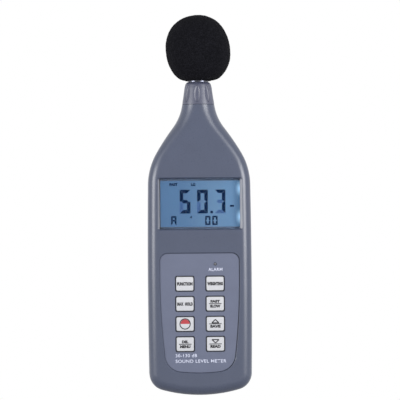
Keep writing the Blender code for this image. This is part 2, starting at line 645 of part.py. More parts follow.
def keypad():
    """The printed panel, the eight keys, the rubber mat with its domes, and the alarm lamp."""
    panel = panel_shape("keypad_panel", 0.0, PANEL_FRONT, PANEL_BACK, PANEL_BLUE)
    cut_key_holes(panel, PANEL_FRONT + MM, PANEL_BACK - MM)
    mesh = key_mesh()
    for name, x, z in key_places():
        add_object(name, mesh, KEY_WHITE, (x, -KEY_FRONT, z))
    mat = block("keypad_mat", MAT_LOW, MAT_HIGH, KEY_DARK, 1.5 * MM)
    for name, x, z in key_places():
        boolean(mat, turned(f"{name}_dome", DOME, (x, 0.0, z), FRONTWARD, sides=12), "UNION")
    lamp = (
        (0.0, LED_TIP),
        (0.4 * MM, LED_TIP - 0.05 * MM),
        (LED_RADIUS, LED_TIP - 0.35 * MM),
        (LED_RADIUS, 9.5 * MM),
        (LED_BODY_RADIUS, 9.0 * MM),
        (LED_BODY_RADIUS, BOARD_FRONT + GAP),
        (0.0, BOARD_FRONT + GAP),
    )
    turned("alarm_led", lamp, (LED_X, 0.0, LED_Z), FRONTWARD, LED_RED, sides=12)


# ---------------------------------------------------------------- electronics

def main_board():
    """The board: a wide lower part and a tongue towards the neck, with holes round the posts."""
    board = block("main_board", (-BOARD_HALF_WIDTH, -BOARD_FRONT, BOARD_LOW),
                  (BOARD_HALF_WIDTH, -BOARD_BACK, BOARD_SHOULDER), BOARD_GREEN, 3 * MM)
    tongue = block("board_tongue", (-TONGUE_BOARD_HALF_WIDTH, -BOARD_FRONT + 0.001 * MM, BOARD_SHOULDER - 7.5 * MM),
                   (TONGUE_BOARD_HALF_WIDTH, -BOARD_BACK - 0.001 * MM, BOARD_TOP), corner=2 * MM)
    boolean(board, tongue, "UNION")
    holes = [(place, 3.6 * MM) for place in HOUSING_SCREWS[:2]]
    holes += [(place, 1.3 * MM) for place in BOARD_SCREWS]
    for number, ((x, z), radius) in enumerate(holes, 1):
        hole = rod(f"board_hole_{number}", radius, 4 * MM, (x, -1.0 * MM, z), FRONTWARD, sides=14)
        boolean(board, hole)


def on_board(name, centre, size, material):
    """A component on the back of the board."""
    x, z = centre
    width, height, thickness = size
    near = -BOARD_BACK + GAP
    return block(name, (x - width / 2, near, z - height / 2), (x + width / 2, near + thickness, z + height / 2),
                 material)


def electronics():
    """The board and what is soldered to its back."""
    main_board()
    for name, centre, size, finish in BOARD_PARTS:
        on_board(name, centre, size, bpy.data.materials[finish])
    lead = bpy.data.curves.new("mic_lead", "CURVE")
    lead.dimensions = "3D"
    lead.bevel_depth = LEAD_RADIUS
    lead.bevel_resolution = 2
    lead.use_fill_caps = True
    steps = 12
    line = lead.splines.new("POLY")
    line.points.add(steps)
    low = Vector(LEAD_LOW)
    high = Vector(LEAD_HIGH)
    for number in range(steps + 1):
        share = number / steps
        sway = LEAD_SWAY * math.sin(math.pi * share) ** 2
        point = low.lerp(high, share) + Vector((sway, 0.0, 0.0))
        line.points[number].co = (*point, 1.0)
    add_object("mic_lead", lead, BLACK_PLASTIC)


def side_sockets():
    """The calibration trimmer and the output jack, both reached from the right side."""
    near, far = SOCKET_BODY_Y
    jack_body = block("output_jack", (JACK_X[0], near, JACK_Z - JACK_HALF_HEIGHT),
                      (JACK_X[1], far, JACK_Z + JACK_HALF_HEIGHT), BLACK_PLASTIC)
    nose = rod("jack_nose", JACK_NOSE_RADIUS, 4 * MM, (27 * MM, SIDE_HOLE_Y, JACK_Z), RIGHTWARD, sides=16)
    boolean(jack_body, nose, "UNION")
    boolean(jack_body, rod("jack_hole", JACK_BORE, 14 * MM, (18.5 * MM, SIDE_HOLE_Y, JACK_Z), RIGHTWARD, sides=14))
    block("trimmer_body", (TRIMMER_X[0], near, TRIMMER_Z - TRIMMER_HALF_HEIGHT),
          (TRIMMER_X[1], far, TRIMMER_Z + TRIMMER_HALF_HEIGHT), BLACK_PLASTIC)
    rotor = rod("trimmer_rotor", ROTOR_RADIUS, ROTOR_LENGTH, (TRIMMER_X[1] + GAP, SIDE_HOLE_Y, TRIMMER_Z), RIGHTWARD,
                BRASS, 16)
    slot = block("rotor_slot", (29.7 * MM, SIDE_HOLE_Y - 0.35 * MM, TRIMMER_Z - 3 * MM),
                 (31 * MM, SIDE_HOLE_Y + 0.35 * MM, TRIMMER_Z + 3 * MM))
    boolean(rotor, slot)


# ---------------------------------------------------------------- batteries and fastenings

def batteries():
    """Four cells side by side in turn-about order, with their springs and end plates."""
    low_plate = TUB_LOW + 1.1 * MM
    high_plate = TUB_HIGH - 1.1 * MM
    for name, z in (("contact_plate_lower", low_plate), ("contact_plate_upper", high_plate + 0.8 * MM)):
        block(name, (-21.4 * MM, 0.6 * MM, z - 0.8 * MM), (21.4 * MM, 9.6 * MM, z), STEEL)
    profile = (
        (0.0, CELL_LENGTH),
        (CELL_TIP_RADIUS, CELL_LENGTH),
        (CELL_TIP_RADIUS, CELL_LENGTH - 1.1 * MM),
        (4.6 * MM, CELL_LENGTH - 1.2 * MM),
        (CELL_RADIUS, CELL_LENGTH - 1.7 * MM),
        (CELL_RADIUS, 0.5 * MM),
        (4.6 * MM, 0.0),
        (0.0, 0.0),
    )
    master = turned("cell_master", profile, (0, 0, 0), UP)
    master.parent = None
    cell = settled_mesh(master, "cell")
    spring_mesh = spring_curve()
    for number in range(4):
        x = (number - 1.5) * CELL_PITCH
        if number % 2:
            cell_turn = (math.pi, 0.0, 0.0)
            cell_place = (x, CELL_Y, low_plate + GAP + CELL_LENGTH)
            spring_place = (x, CELL_Y, high_plate - GAP)
            spring_turn = (math.pi, 0.0, 0.0)
        else:
            cell_turn = UP
            cell_place = (x, CELL_Y, high_plate - GAP - CELL_LENGTH)
            spring_place = (x, CELL_Y, low_plate + GAP)
            spring_turn = UP
        add_object(f"battery_{number + 1}", cell, CELL_WRAP, cell_place, cell_turn)
        add_object(f"battery_spring_{number + 1}", spring_mesh, STEEL, spring_place, spring_turn)


def spring_curve():
    """A conical contact spring that stands on its plate and narrows towards the cell."""
    wire = 0.35 * MM
    free = 49.8 * MM - CELL_LENGTH - 3 * GAP
    turns = 3
    per_turn = 9
    spring = bpy.data.curves.new("contact_spring", "CURVE")
    spring.dimensions = "3D"
    spring.bevel_depth = wire
    spring.bevel_resolution = 1
    spring.use_fill_caps = True
    line = spring.splines.new("POLY")
    line.points.add(turns * per_turn)
    for number in range(turns * per_turn + 1):
        share = number / (turns * per_turn)
        angle = 2 * math.pi * turns * share
        radius = 3.8 * MM - 1.8 * MM * share
        height = wire + (free - 2 * wire) * share
        line.points[number].co = (radius * math.cos(angle), radius * math.sin(angle), height, 1.0)
    return spring


def screw_mesh(name, head_radius, head_height, shank_radius, shank_length):
    """A pan-head screw with a cross recess, its seat at zero and its shank running down."""
    profile = (
        (0.0, head_height),
        (head_radius * 0.75, head_height),
        (head_radius, head_height * 0.55),
        (head_radius, 0.0),
        (shank_radius, 0.0),
        (shank_radius, -shank_length + shank_radius),
        (0.0, -shank_length),
    )
    screw = turned(name, profile, (0, 0, 0), UP, sides=14)
    screw.parent = None
    tools = []
    for turn in (0.0, math.pi / 2):
        arm = block(f"{name}_recess", (-head_radius * 0.6, -RECESS_HALF_WIDTH, head_height * 0.35),
                    (head_radius * 0.6, RECESS_HALF_WIDTH, head_height + MM))
        arm.parent = None
        arm.rotation_euler = (0.0, 0.0, turn)
        boolean(screw, arm)
        tools.append(arm)
    mesh = settled_mesh(screw, name)
    for tool in tools:
        bpy.data.objects.remove(tool, do_unlink=True)
    return mesh


def fastenings():
    """The housing's four long screws, the board's four short ones, and the tripod insert."""
    long_screw = screw_mesh("long_screw", *LONG_SCREW)
    for number, (x, z) in enumerate(HOUSING_SCREWS, 1):
        add_object(f"housing_screw_{number}", long_screw, STEEL, (x, SCREW_SEAT + GAP, z), BACKWARD)
    short_screw = screw_mesh("short_screw", *SHORT_SCREW)
    for number, (x, z) in enumerate(BOARD_SCREWS, 1):
        add_object(f"board_screw_{number}", short_screw, STEEL, (x, -BOARD_BACK + GAP, z), BACKWARD)
    profile = (
        (SOCKET_RADIUS, INSERT_MOUTH),
        (INSERT_RADIUS, INSERT_MOUTH),
        (INSERT_RADIUS, INSERT_END),
        (SOCKET_RADIUS, INSERT_END),
    )
    turned("tripod_insert", profile, (0.0, 0.0, SOCKET_Z), BACKWARD, BRASS, ring=True)


front_housing()
rear_housing()
battery_cover()
nose_cone()
microphone()
windscreen()
display()
keypad()
electronics()
side_sockets()
batteries()
fastenings()
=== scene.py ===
"""Looks of the handheld sound level meter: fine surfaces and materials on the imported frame.

Each outer piece is built again at full fineness in the place of its CAD solid, in housing coordinates:
heights from the housing's lowest point, depths from its parting plane, front towards -Y.
"""

from math import atan2, cos, hypot, pi, radians, sin, sqrt

import bmesh
import bpy
from mathutils import Euler, Matrix, Vector, noise


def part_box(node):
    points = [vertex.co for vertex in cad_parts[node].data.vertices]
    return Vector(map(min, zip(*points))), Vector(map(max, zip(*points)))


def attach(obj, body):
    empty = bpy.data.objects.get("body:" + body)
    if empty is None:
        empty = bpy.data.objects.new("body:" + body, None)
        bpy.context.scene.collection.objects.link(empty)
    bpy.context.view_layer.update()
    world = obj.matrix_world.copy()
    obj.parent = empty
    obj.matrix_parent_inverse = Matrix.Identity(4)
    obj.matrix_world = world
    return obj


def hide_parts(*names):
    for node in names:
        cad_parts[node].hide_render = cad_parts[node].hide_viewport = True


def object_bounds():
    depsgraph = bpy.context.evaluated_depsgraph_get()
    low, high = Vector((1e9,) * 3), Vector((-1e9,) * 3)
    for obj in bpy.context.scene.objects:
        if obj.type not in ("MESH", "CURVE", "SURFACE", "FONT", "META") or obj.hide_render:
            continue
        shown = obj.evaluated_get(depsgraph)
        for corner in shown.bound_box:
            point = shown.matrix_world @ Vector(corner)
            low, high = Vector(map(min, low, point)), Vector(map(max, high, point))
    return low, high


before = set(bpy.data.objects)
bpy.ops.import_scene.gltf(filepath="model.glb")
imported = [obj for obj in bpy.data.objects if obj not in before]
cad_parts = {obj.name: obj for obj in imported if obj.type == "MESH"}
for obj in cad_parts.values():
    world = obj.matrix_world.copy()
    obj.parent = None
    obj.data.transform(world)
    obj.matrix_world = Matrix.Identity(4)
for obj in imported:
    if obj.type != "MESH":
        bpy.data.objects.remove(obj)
CAD_LOW, CAD_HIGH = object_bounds()

MM = 0.001
GAP = 0.3 * MM


def mm(*points):
    """Points or sizes given in millimetres, in metres."""
    return tuple(tuple(value * MM for value in point) for point in points)


front_low, front_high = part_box("front_housing")
rear_low, rear_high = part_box("rear_housing")
HALF_DEPTH = (rear_high.y - front_low.y) / 2
BASE = Vector((0.0, (rear_high.y + front_low.y) / 2, front_low.z))


def local_box(node):
    """A node's lowest and highest corners in housing coordinates."""
    low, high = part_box(node)
    return low - BASE, high - BASE


def box_middle(node):
    """The (x, z) middle of a node's box in housing coordinates."""
    low, high = local_box(node)
    return (low.x + high.x) / 2, (low.z + high.z) / 2


# ---------------------------------------------------------------- driving dimensions

WALL = 2.4 * MM
EDGE_RADIUS = 6.8 * MM
EDGE_STEPS = 12
OUTLINE_ARCS = (
    (87.5 * MM, 15.8, 14),
    (10.7 * MM, 73.4, 22),
    (4000.0 * MM, 1.667, 12),
    (40.6 * MM, 28.95, 18),
    (150.0 * MM, 7.13, 8),
    (-31.2 * MM, -28.48, 20),
)
NECK_BLEND = (142.0 * MM, 176.0 * MM)
SEAM = 0.012 * MM
SEAM_CHAMFER = 0.22 * MM
NECK_BORE = 8.1 * MM

WINDOW_Z = 117.9 * MM
WINDOW_SIZE = (49.5 * MM, 31.0 * MM)
WINDOW_MOUTH = (52.6 * MM, 32.1 * MM)
WINDOW_SLOPE = 1.5 * MM

NECK_STATIONS = 16

KEYPAD_X = -0.3 * MM
PANEL_LOW = 14.3 * MM
PANEL_HIGH = 87.3 * MM
PANEL_ARCS = ((100.0 * MM, 7.0, 6), (10.6 * MM, 76.5, 20), (424.0 * MM, 6.5, 8))
PANEL_TOP_CORNER = 4.5 * MM
PANEL_CORNER_STEPS = 12
PANEL_BACK = 12.0 * MM
PANEL_FRONT = 12.5 * MM

KEY_SIZE = (10.5 * MM, 8.4 * MM)
KEY_HOLE = (12.0 * MM, 9.9 * MM)
KEY_CORNER = 0.9 * MM
KEY_FRONT = 13.0 * MM
INK = 0.03 * MM
KEYS = {
    "key_mode": "FUNCTION",
    "key_weighting": "WEIGHTING",
    "key_hold": "MAX  HOLD",
    "key_response": ("FAST", "SLOW"),
    "key_power": "circle",
    "key_up": ("up", "SAVE"),
    "key_clear": ("DEL", "MENU"),
    "key_down": ("down", "READ"),
}

CONE_BASE = 179.3 * MM
CONE_TOP = 193.0 * MM
CONE_BORE = 6.7 * MM
CONE_FOOT = 171.0 * MM
CONE_FOOT_RADIUS = 7.8 * MM
CONE_PROFILE = (
    (CONE_BASE, 9.92 * MM),
    *mm((182.0, 9.58), (185.5, 9.08), (189.5, 8.48), (191.3, 8.05), (192.1, 7.75), (192.6, 7.3)),
    (CONE_TOP, 7.0 * MM),
)
FLUTES = 8
FLUTE_TURN = radians(-6.2)
FLUTE_LOW = 180.6 * MM
FLUTE_HIGH = 191.0 * MM
FLUTE_HALF_WIDTH = 1.95 * MM
FLUTE_DEPTH = 0.85 * MM
FLUTE_RADIUS = 9.0 * MM
FLUTE_POWER = 2.6
FLUTE_ROWS = 74
FLUTE_ROW = 0.16 * MM

FOAM_BOTTOM = 194.0 * MM
FOAM_RADIUS = 20.05 * MM
FOAM_WAIST = 212.35 * MM
FOAM_UPPER = 22.55 * MM
FOAM_LOWER = 21.1 * MM
FOAM_POWERS = (2.22, 2.15)
FOOT_BLEND = 26.0
FOAM_BORE = 7.0 * MM
FOAM_BORE_TOP = 210.0 * MM
FOAM_TILT = Matrix.Rotation(radians(-9.9), 3, "Y")
FOOT_RADIUS = 8.6 * MM
PORE_SIZE, PORE_DEPTH = 0.9 * MM, 0.16 * MM
SWELL_SIZE, SWELL_DEPTH = 7.0 * MM, 0.18 * MM

COVER_TOP = 66.0 * MM
COVER_LOW = 3.2 * MM
COVER_HALF_WIDTH = 22.9 * MM
COVER_INNER = 11.2 * MM
TONGUE_HALF_WIDTH = 24.0 * MM
TONGUE_OUTER = 12.0 * MM
TUB_LOW = 9.5 * MM
TUB_HIGH = 61.5 * MM
TUB_HALF_WIDTH = 21.9 * MM
TUB_FLOOR = -0.2 * MM

GRIP_RIBS = 7
GRIP_TOP = 57.5 * MM
GRIP_PITCH = 1.9 * MM
GRIP_HALF_WIDTH = 8.5 * MM

HOUSING_SCREWS = mm((-21.5, 74.0), (21.5, 74.0), (-19.0, 143.0), (19.0, 143.0))
SCREW_SEAT = 4.0 * MM
SOCKET_Z = -BASE.z
SOCKET_RADIUS = 3.1 * MM
SIDE_HOLE_Y = 1.5 * MM
SIDE_HOLES = mm((112.0, 3.3), (84.0, 2.6))


# ---------------------------------------------------------------- materials

def new_material(name, color, roughness, metallic=0.0):
    """A node material, with its Principled shader and the object's own coordinates."""
    made = bpy.data.materials.new(name)
    made.use_nodes = True
    nodes = made.node_tree.nodes
    shader = nodes["Principled BSDF"]
    shader.inputs["Base Color"].default_value = (*color, 1.0)
    shader.inputs["Roughness"].default_value = roughness
    shader.inputs["Metallic"].default_value = metallic
    coordinates = nodes.new("ShaderNodeTexCoord").outputs["Object"]
    return made, shader, coordinates


def feed(material, value, socket):
    """Link a node's output to a socket, or set the socket to a constant."""
    if isinstance(value, bpy.types.NodeSocket):
        material.node_tree.links.new(value, socket)
    else:
        socket.default_value = value


def maths(material, operation, *values, kind="ShaderNodeMath", output="Value"):
    """One step of arithmetic on values or, with the vector kind of node, on vectors."""
    node = material.node_tree.nodes.new(kind)
    node.operation = operation
    for value, socket in zip(values, node.inputs):
        feed(material, value, socket)
    return node.outputs[output]


VECTORS = {"kind": "ShaderNodeVectorMath", "output": "Vector"}


def noise_node(material, coordinates, cell, detail=2.0):
    """A noise value whose features are about one cell wide."""
    node = material.node_tree.nodes.new("ShaderNodeTexNoise")
    node.inputs["Scale"].default_value = 1.0 / cell
    node.inputs["Detail"].default_value = detail
    feed(material, coordinates, node.inputs["Vector"])
    return node.outputs["Fac"]


def ranged(material, value, low, high, start=0.3, end=0.7):
    """A value spread between two limits."""
    node = material.node_tree.nodes.new("ShaderNodeMapRange")
    node.inputs["From Min"].default_value = start
    node.inputs["From Max"].default_value = end
    node.inputs["To Min"].default_value = low
    node.inputs["To Max"].default_value = high
    feed(material, value, node.inputs["Value"])
    return node.outputs["Result"]


def mixed(material, share, first, second):
    """A colour between two others. The first may be another node's output."""
    node = material.node_tree.nodes.new("ShaderNodeMix")
    node.data_type = "RGBA"
    feed(material, share, node.inputs["Factor"])
    feed(material, (*first, 1.0) if isinstance(first, tuple) else first, node.inputs[6])
    feed(material, (*second, 1.0), node.inputs[7])
    return node.outputs[2]


def bumped(material, shader, value, distance):
    """Relief of a real depth under the shader."""
    node = material.node_tree.nodes.new("ShaderNodeBump")
    node.inputs["Distance"].default_value = distance
    node.inputs["Strength"].default_value = 1.0
    feed(material, value, node.inputs["Height"])
    feed(material, node.outputs["Normal"], shader.inputs["Normal"])


def moulded(name, color, roughness, grain=0.45, relief=0.008, spread=0.05, coat=0.0):
    """Moulded or painted material: a fine grain, in millimetres, and faintly uneven colour and gloss."""
    made, shader, coordinates = new_material(name, color, roughness)
    cloud = noise_node(made, coordinates, 9 * MM, 3.0)
    darker = tuple(channel * (1.0 - spread) for channel in color)
    lighter = tuple(min(channel * (1.0 + spread), 1.0) for channel in color)
    feed(made, mixed(made, ranged(made, cloud, 0.0, 1.0), darker, lighter), shader.inputs["Base Color"])
    fine = noise_node(made, coordinates, grain * MM)
    feed(made, ranged(made, fine, roughness * 0.88, roughness * 1.12), shader.inputs["Roughness"])
    bumped(made, shader, fine, relief * MM)
    shader.inputs["Coat Weight"].default_value = coat
    return made


def brushed(name, color, roughness):
    """Metal with fine parallel tool marks."""
    made, shader, coordinates = new_material(name, color, roughness, 1.0)
    stretch = made.node_tree.nodes.new("ShaderNodeMapping")
    stretch.inputs["Scale"].default_value = (1.0, 1.0, 12.0)
    feed(made, coordinates, stretch.inputs["Vector"])
    marks = noise_node(made, stretch.outputs["Vector"], 0.9 * MM, 3.0)
    feed(made, ranged(made, marks, roughness * 0.7, roughness * 1.4), shader.inputs["Roughness"])
    dull = tuple(channel * 0.85 for channel in color)
    feed(made, mixed(made, ranged(made, marks, 0.0, 1.0), dull, color), shader.inputs["Base Color"])
    bumped(made, shader, marks, 0.004 * MM)
    return made


def foam_material():
    """Black open-cell foam: round pores in relief, with painted shade darkening their insides, and pale cell
    walls.
    """
    made, shader, coordinates = new_material("windscreen_foam", (0.012, 0.012, 0.015), 0.95)
    cells = made.node_tree.nodes.new("ShaderNodeTexVoronoi")
    cells.inputs["Scale"].default_value = 1.0 / (0.62 * MM)
    feed(made, coordinates, cells.inputs["Vector"])
    wall = ranged(made, cells.outputs["Distance"], 0.0, 1.0, 0.15, 0.75)
    cloud = noise_node(made, coordinates, 2.2 * MM, 3.0)
    pore_shade_and_mottle = maths(made, "MULTIPLY", wall, ranged(made, cloud, 0.45, 1.0))
    # Painted shade: the pores' insides are darker than the cell walls, with an uneven cloud of tone over it.
    tone = mixed(made, pore_shade_and_mottle, (0.002, 0.002, 0.003), (0.0075, 0.0075, 0.01))
    feed(made, tone, shader.inputs["Base Color"])
    bumped(made, shader, wall, 0.25 * MM)
    shader.inputs["Specular IOR Level"].default_value = 0.05
    return made


DISPLAY_TONES = ((0.0, (0.083, 0.155, 0.29)), (0.3, (0.086, 0.158, 0.288)), (0.7, (0.126, 0.215, 0.352)),
                 (0.9, (0.125, 0.225, 0.38)), (1.0, (0.07, 0.14, 0.255)))
GLOW_COLOR = (0.42, 0.7, 1.0)
GLOW_HEIGHTS = (9.1 * MM, -8.2 * MM)
GLOW_REACH = (0.6 * MM, 3.6 * MM)
GLOW_SHAPE = (1.0, 0.0, 0.62)
GLOW_POWER = 1.6


def display_material():
    """The lit display: blue, darker at the left, with two lamps glowing at the right edge."""
    made, shader, coordinates = new_material("display_face", (0.01, 0.03, 0.05), 0.35)
    shader.inputs["Specular IOR Level"].default_value = 0.06
    nodes = made.node_tree.nodes
    split = nodes.new("ShaderNodeSeparateXYZ")
    feed(made, coordinates, split.inputs["Vector"])
    ramp = nodes.new("ShaderNodeValToRGB")
    half = WINDOW_SIZE[0] / 2
    feed(made, ranged(made, split.outputs["X"], 0.0, 1.0, -half, half), ramp.inputs["Fac"])
    for _ in DISPLAY_TONES[2:]:
        ramp.color_ramp.elements.new(0.5)
    for element, (place, color) in zip(ramp.color_ramp.elements, DISPLAY_TONES):
        element.position = place
        element.color = (*color, 1.0)
    glow = 0.0
    for height in GLOW_HEIGHTS:
        lamp = (half + 0.6 * MM, 0.0, WINDOW_Z + height)
        away = maths(made, "SUBTRACT", coordinates, lamp, **VECTORS)
        away = maths(made, "MULTIPLY", away, GLOW_SHAPE, **VECTORS)
        distance = maths(made, "LENGTH", away, kind=VECTORS["kind"])
        glow = maths(made, "MAXIMUM", glow, ranged(made, distance, 1.0, 0.0, *GLOW_REACH))
    bright = mixed(made, maths(made, "POWER", glow, GLOW_POWER), ramp.outputs["Color"], GLOW_COLOR)
    feed(made, bright, shader.inputs["Emission Color"])
    shader.inputs["Emission Strength"].default_value = 1.0
    bumped(made, shader, noise_node(made, coordinates, 0.6 * MM), 0.001 * MM)
    return made


def clear_material():
    """The clear window, with an antireflective face."""
    made, shader, coordinates = new_material("clear_window", (0.97, 0.985, 1.0), 0.02)
    shader.inputs["Transmission Weight"].default_value = 1.0
    shader.inputs["IOR"].default_value = 1.12
    bumped(made, shader, noise_node(made, coordinates, 14 * MM), 0.002 * MM)
    return made


def lit_ink(name, color):
    """A display segment: dark liquid crystal that lets a little of the light through."""
    made, shader, coordinates = new_material(name, tuple(channel * 0.3 for channel in color), 0.5)
    tone = mixed(made, ranged(made, noise_node(made, coordinates, 1.5 * MM), 0.0, 1.0),
                 tuple(channel * 0.85 for channel in color), tuple(channel * 1.15 for channel in color))
    feed(made, tone, shader.inputs["Emission Color"])
    shader.inputs["Emission Strength"].default_value = 1.0
    shader.inputs["Specular IOR Level"].default_value = 0.04
    return made


HOUSING = moulded("housing_paint", (0.039, 0.0475, 0.0775), 0.3, grain=0.5, relief=0.006, spread=0.03)
CONE = moulded("cone_paint", (0.049, 0.053, 0.083), 0.36, grain=0.4, relief=0.008, spread=0.03)
PANEL = moulded("panel_overlay", (0.0685, 0.079, 0.123), 0.5, grain=0.25, relief=0.01, spread=0.035)
KEY = moulded("key_cap", (0.345, 0.35, 0.37), 0.42, grain=0.5, relief=0.006, spread=0.02)
RUBBER = moulded("dark_rubber", (0.014, 0.016, 0.024), 0.8, grain=0.3, relief=0.012)
BLACK = moulded("black_plastic", (0.018, 0.018, 0.02), 0.42, grain=0.35, relief=0.01)
WHITE_PLASTIC = moulded("connector_plastic", (0.62, 0.6, 0.54), 0.45)
BOARD = moulded("board_green", (0.015, 0.09, 0.04), 0.35, grain=0.8, relief=0.006, spread=0.12)
PANEL_INK = moulded("panel_ink", (0.4, 0.42, 0.52), 0.5, grain=0.2, relief=0.002, spread=0.03)
KEY_INK = moulded("key_ink", (0.004, 0.004, 0.007), 0.6, grain=0.2, relief=0.002, spread=0.04)
RED_INK = moulded("red_ink", (0.27, 0.02, 0.027), 0.45, grain=0.2, relief=0.002, spread=0.04)
WRAP = moulded("cell_wrap", (0.02, 0.022, 0.026), 0.22, grain=0.6, relief=0.003, coat=0.4)
WRAP_BAND = moulded("cell_band", (0.5, 0.22, 0.06), 0.25, grain=0.6, relief=0.003, coat=0.4)
LAMP = moulded("lamp_lens", (0.09, 0.09, 0.105), 0.3, grain=0.3, relief=0.002, coat=0.3)
# Painted shade: the holder is blue-grey rather than black, standing in for the shaded blue of the lit display
# at the opening's edges.
BEZEL_PAINTED_SHADE = moulded("display_bezel_painted_shade", (0.05, 0.075, 0.13), 0.45, grain=0.35, relief=0.01)
BACKLIGHT = moulded("light_guide", (0.4, 0.55, 0.75), 0.4)
SCREW_STEEL = brushed("screw_steel", (0.36, 0.36, 0.38), 0.4)
DARK_METAL = brushed("dark_anodised", (0.118, 0.124, 0.154), 0.25)
STEEL = brushed("nickel_steel", (0.6, 0.6, 0.62), 0.28)
BRASS = brushed("turned_brass", (0.72, 0.52, 0.24), 0.28)
FOAM = foam_material()
DISPLAY = display_material()
CLEAR = clear_material()
SEGMENT_DARK = lit_ink("segment_dark", (0.001, 0.009, 0.036))
SEGMENT_HALF = lit_ink("segment_half", (0.045, 0.09, 0.21))
SEGMENT_FAINT = lit_ink("segment_faint", (0.085, 0.155, 0.265))


# ---------------------------------------------------------------- modelling helpers

TINY = 1e-7


def in_scene(name, data):
    """A new object in the scene."""
    made = bpy.data.objects.new(name, data)
    bpy.context.scene.collection.objects.link(made)
    return made


def add_object(name, mesh, material, body="meter", replaces=()):
    """A piece in housing coordinates that rides on a body. Without a material it is a tool."""
    made = in_scene(name, mesh)
    made.location = BASE
    if material is None:
        return made
    mesh.materials.clear()
    mesh.materials.append(material)
    bpy.context.view_layer.update()
    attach(made, body)
    if replaces:
        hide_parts(*replaces)
    return made


def mesh_from(bm, name):
    """Write a bmesh to a new mesh with its faces pointing out."""
    bmesh.ops.recalc_face_normals(bm, faces=bm.faces)
    mesh = bpy.data.meshes.new(name)
    bm.to_mesh(mesh)
    bm.free()
    return mesh


def shaded(mesh, angle=35.0):
    """Smooth shading, with hard edges where the surface turns sharply."""
    mesh.shade_smooth()
    mesh.set_sharp_from_angle(angle=radians(angle))
    return mesh


def level_ring(bm, radius, height, sides):
    """A level ring of vertices round the upright axis."""
    turn = [2 * pi * side / sides for side in range(sides)]
    return [bm.verts.new((radius * cos(a), radius * sin(a), height)) for a in turn]


def join_rings(bm, first, second):
    """Four-sided faces between two rings of as many vertices."""
    for i in range(len(first)):
        after = (i + 1) % len(first)
        bm.faces.new((first[i], first[after], second[after], second[i]))


def evaluated_mesh(made):
    """The mesh that an object's modifiers make."""
    bpy.context.view_layer.update()
    graph = bpy.context.evaluated_depsgraph_get()
    return bpy.data.meshes.new_from_object(made.evaluated_get(graph))


def cut(mesh):
    """A step of carve that takes a tool's shape away."""
    return "DIFFERENCE", mesh


def join(mesh):
    """A step of carve that adds a shape."""
    return "UNION", mesh


def carve(mesh, *steps):
    """Apply Booleans in turn to a mesh. Each step is an operation and the mesh of its tool."""
    work = add_object("work", mesh, None)
    tools = []
    for operation, tool_mesh in steps:
        tool = add_object("tool", tool_mesh, None)
        boolean = work.modifiers.new("carve", "BOOLEAN")
        boolean.operation = operation
        boolean.solver = "EXACT"
        boolean.object = tool
        tools.append(tool)
    result = evaluated_mesh(work)
    for used in (work, *tools):
        bpy.data.objects.remove(used, do_unlink=True)
    return result


def edges_along(bm, axis):
    """The edges of a box that run along one axis."""
    others = [i for i in range(3) if i != axis]
    found = []
    for edge in bm.edges:
        step = edge.verts[1].co - edge.verts[0].co
        if all(abs(step[i]) < TINY for i in others):
            found.append(edge)
    return found


def block(low, high, corner=0.0, axis=1, steps=6, rim=0.0):
    """A box between two corners, with its edges along one axis rounded, then all its rims softened."""
    low = Vector(low)
    high = Vector(high)
    bm = bmesh.new()
    bmesh.ops.create_cube(bm, size=1.0)
    bmesh.ops.scale(bm, vec=high - low, verts=bm.verts)
    if corner:
        bmesh.ops.bevel(bm, geom=edges_along(bm, axis), offset=corner, segments=steps, profile=0.5,
                        affect="EDGES")
    if rim:
        sharp = [edge for edge in bm.edges if edge.calc_face_angle() > radians(40)]
        bmesh.ops.bevel(bm, geom=sharp, offset=rim, segments=3, profile=0.5, affect="EDGES")
    bmesh.ops.translate(bm, vec=(low + high) / 2, verts=bm.verts)
    return mesh_from(bm, "block")


def wide_block(half_width, near, far, bottom, top, corner=0.0):
    """A box centred on the meter, between two depths and two heights."""
    return block((-half_width, near, bottom), (half_width, far, top), corner)


AIMS = {"up": Euler(), "front": Euler((pi / 2, 0, 0)), "back": Euler((-pi / 2, 0, 0)),
        "right": Euler((0, pi / 2, 0))}


def turned(profile, place=(0, 0, 0), aim="up", sides=64, ring=False):
    """A profile of (radius, height) points turned about an aimed axis."""
    bm = bmesh.new()
    rows = []
    for radius, height in profile:
        rows.append(level_ring(bm, radius, height, sides if radius > TINY else 1))
    pairs = list(zip(rows, rows[1:]))
    if ring:
        pairs.append((rows[-1], rows[0]))
    for first, second in pairs:
        for side in range(sides):
            after = (side + 1) % sides
            corners = [first[side % len(first)], first[after % len(first)],
                       second[after % len(second)], second[side % len(second)]]
            bm.faces.new(list(dict.fromkeys(corners)))
    bmesh.ops.transform(bm, matrix=Matrix.Translation(place) @ AIMS[aim].to_matrix().to_4x4(), verts=bm.verts)
    return mesh_from(bm, "turned")


def rod(radius, length, place, aim, sides=48):
    """A cylinder that starts at a place and runs along an aimed axis."""
    return turned(((0.0, length), (radius, length), (radius, 0.0), (0.0, 0.0)), place, aim, sides)


def flat_piece(outlines, front, thickness, name):
    """Flat printed shapes: each outline of (x, z) points becomes a thin slab that faces the front."""
    bm = bmesh.new()
    for outline in outlines:
        rim = [bm.verts.new((x, -front, z)) for x, z in outline]
        face = bm.faces.new(rim)
        pushed = bmesh.ops.extrude_face_region(bm, geom=[face])["geom"]
        bmesh.ops.translate(bm, vec=(0.0, thickness, 0.0),
                            verts=[v for v in pushed if isinstance(v, bmesh.types.BMVert)])
    return mesh_from(bm, name)


def ease(value, start, end):
    """A smooth step from 0 at the start to 1 at the end."""
    share = min(max((value - start) / (end - start), 0.0), 1.0)
    return share * share * (3.0 - 2.0 * share)


# ---------------------------------------------------------------- housing

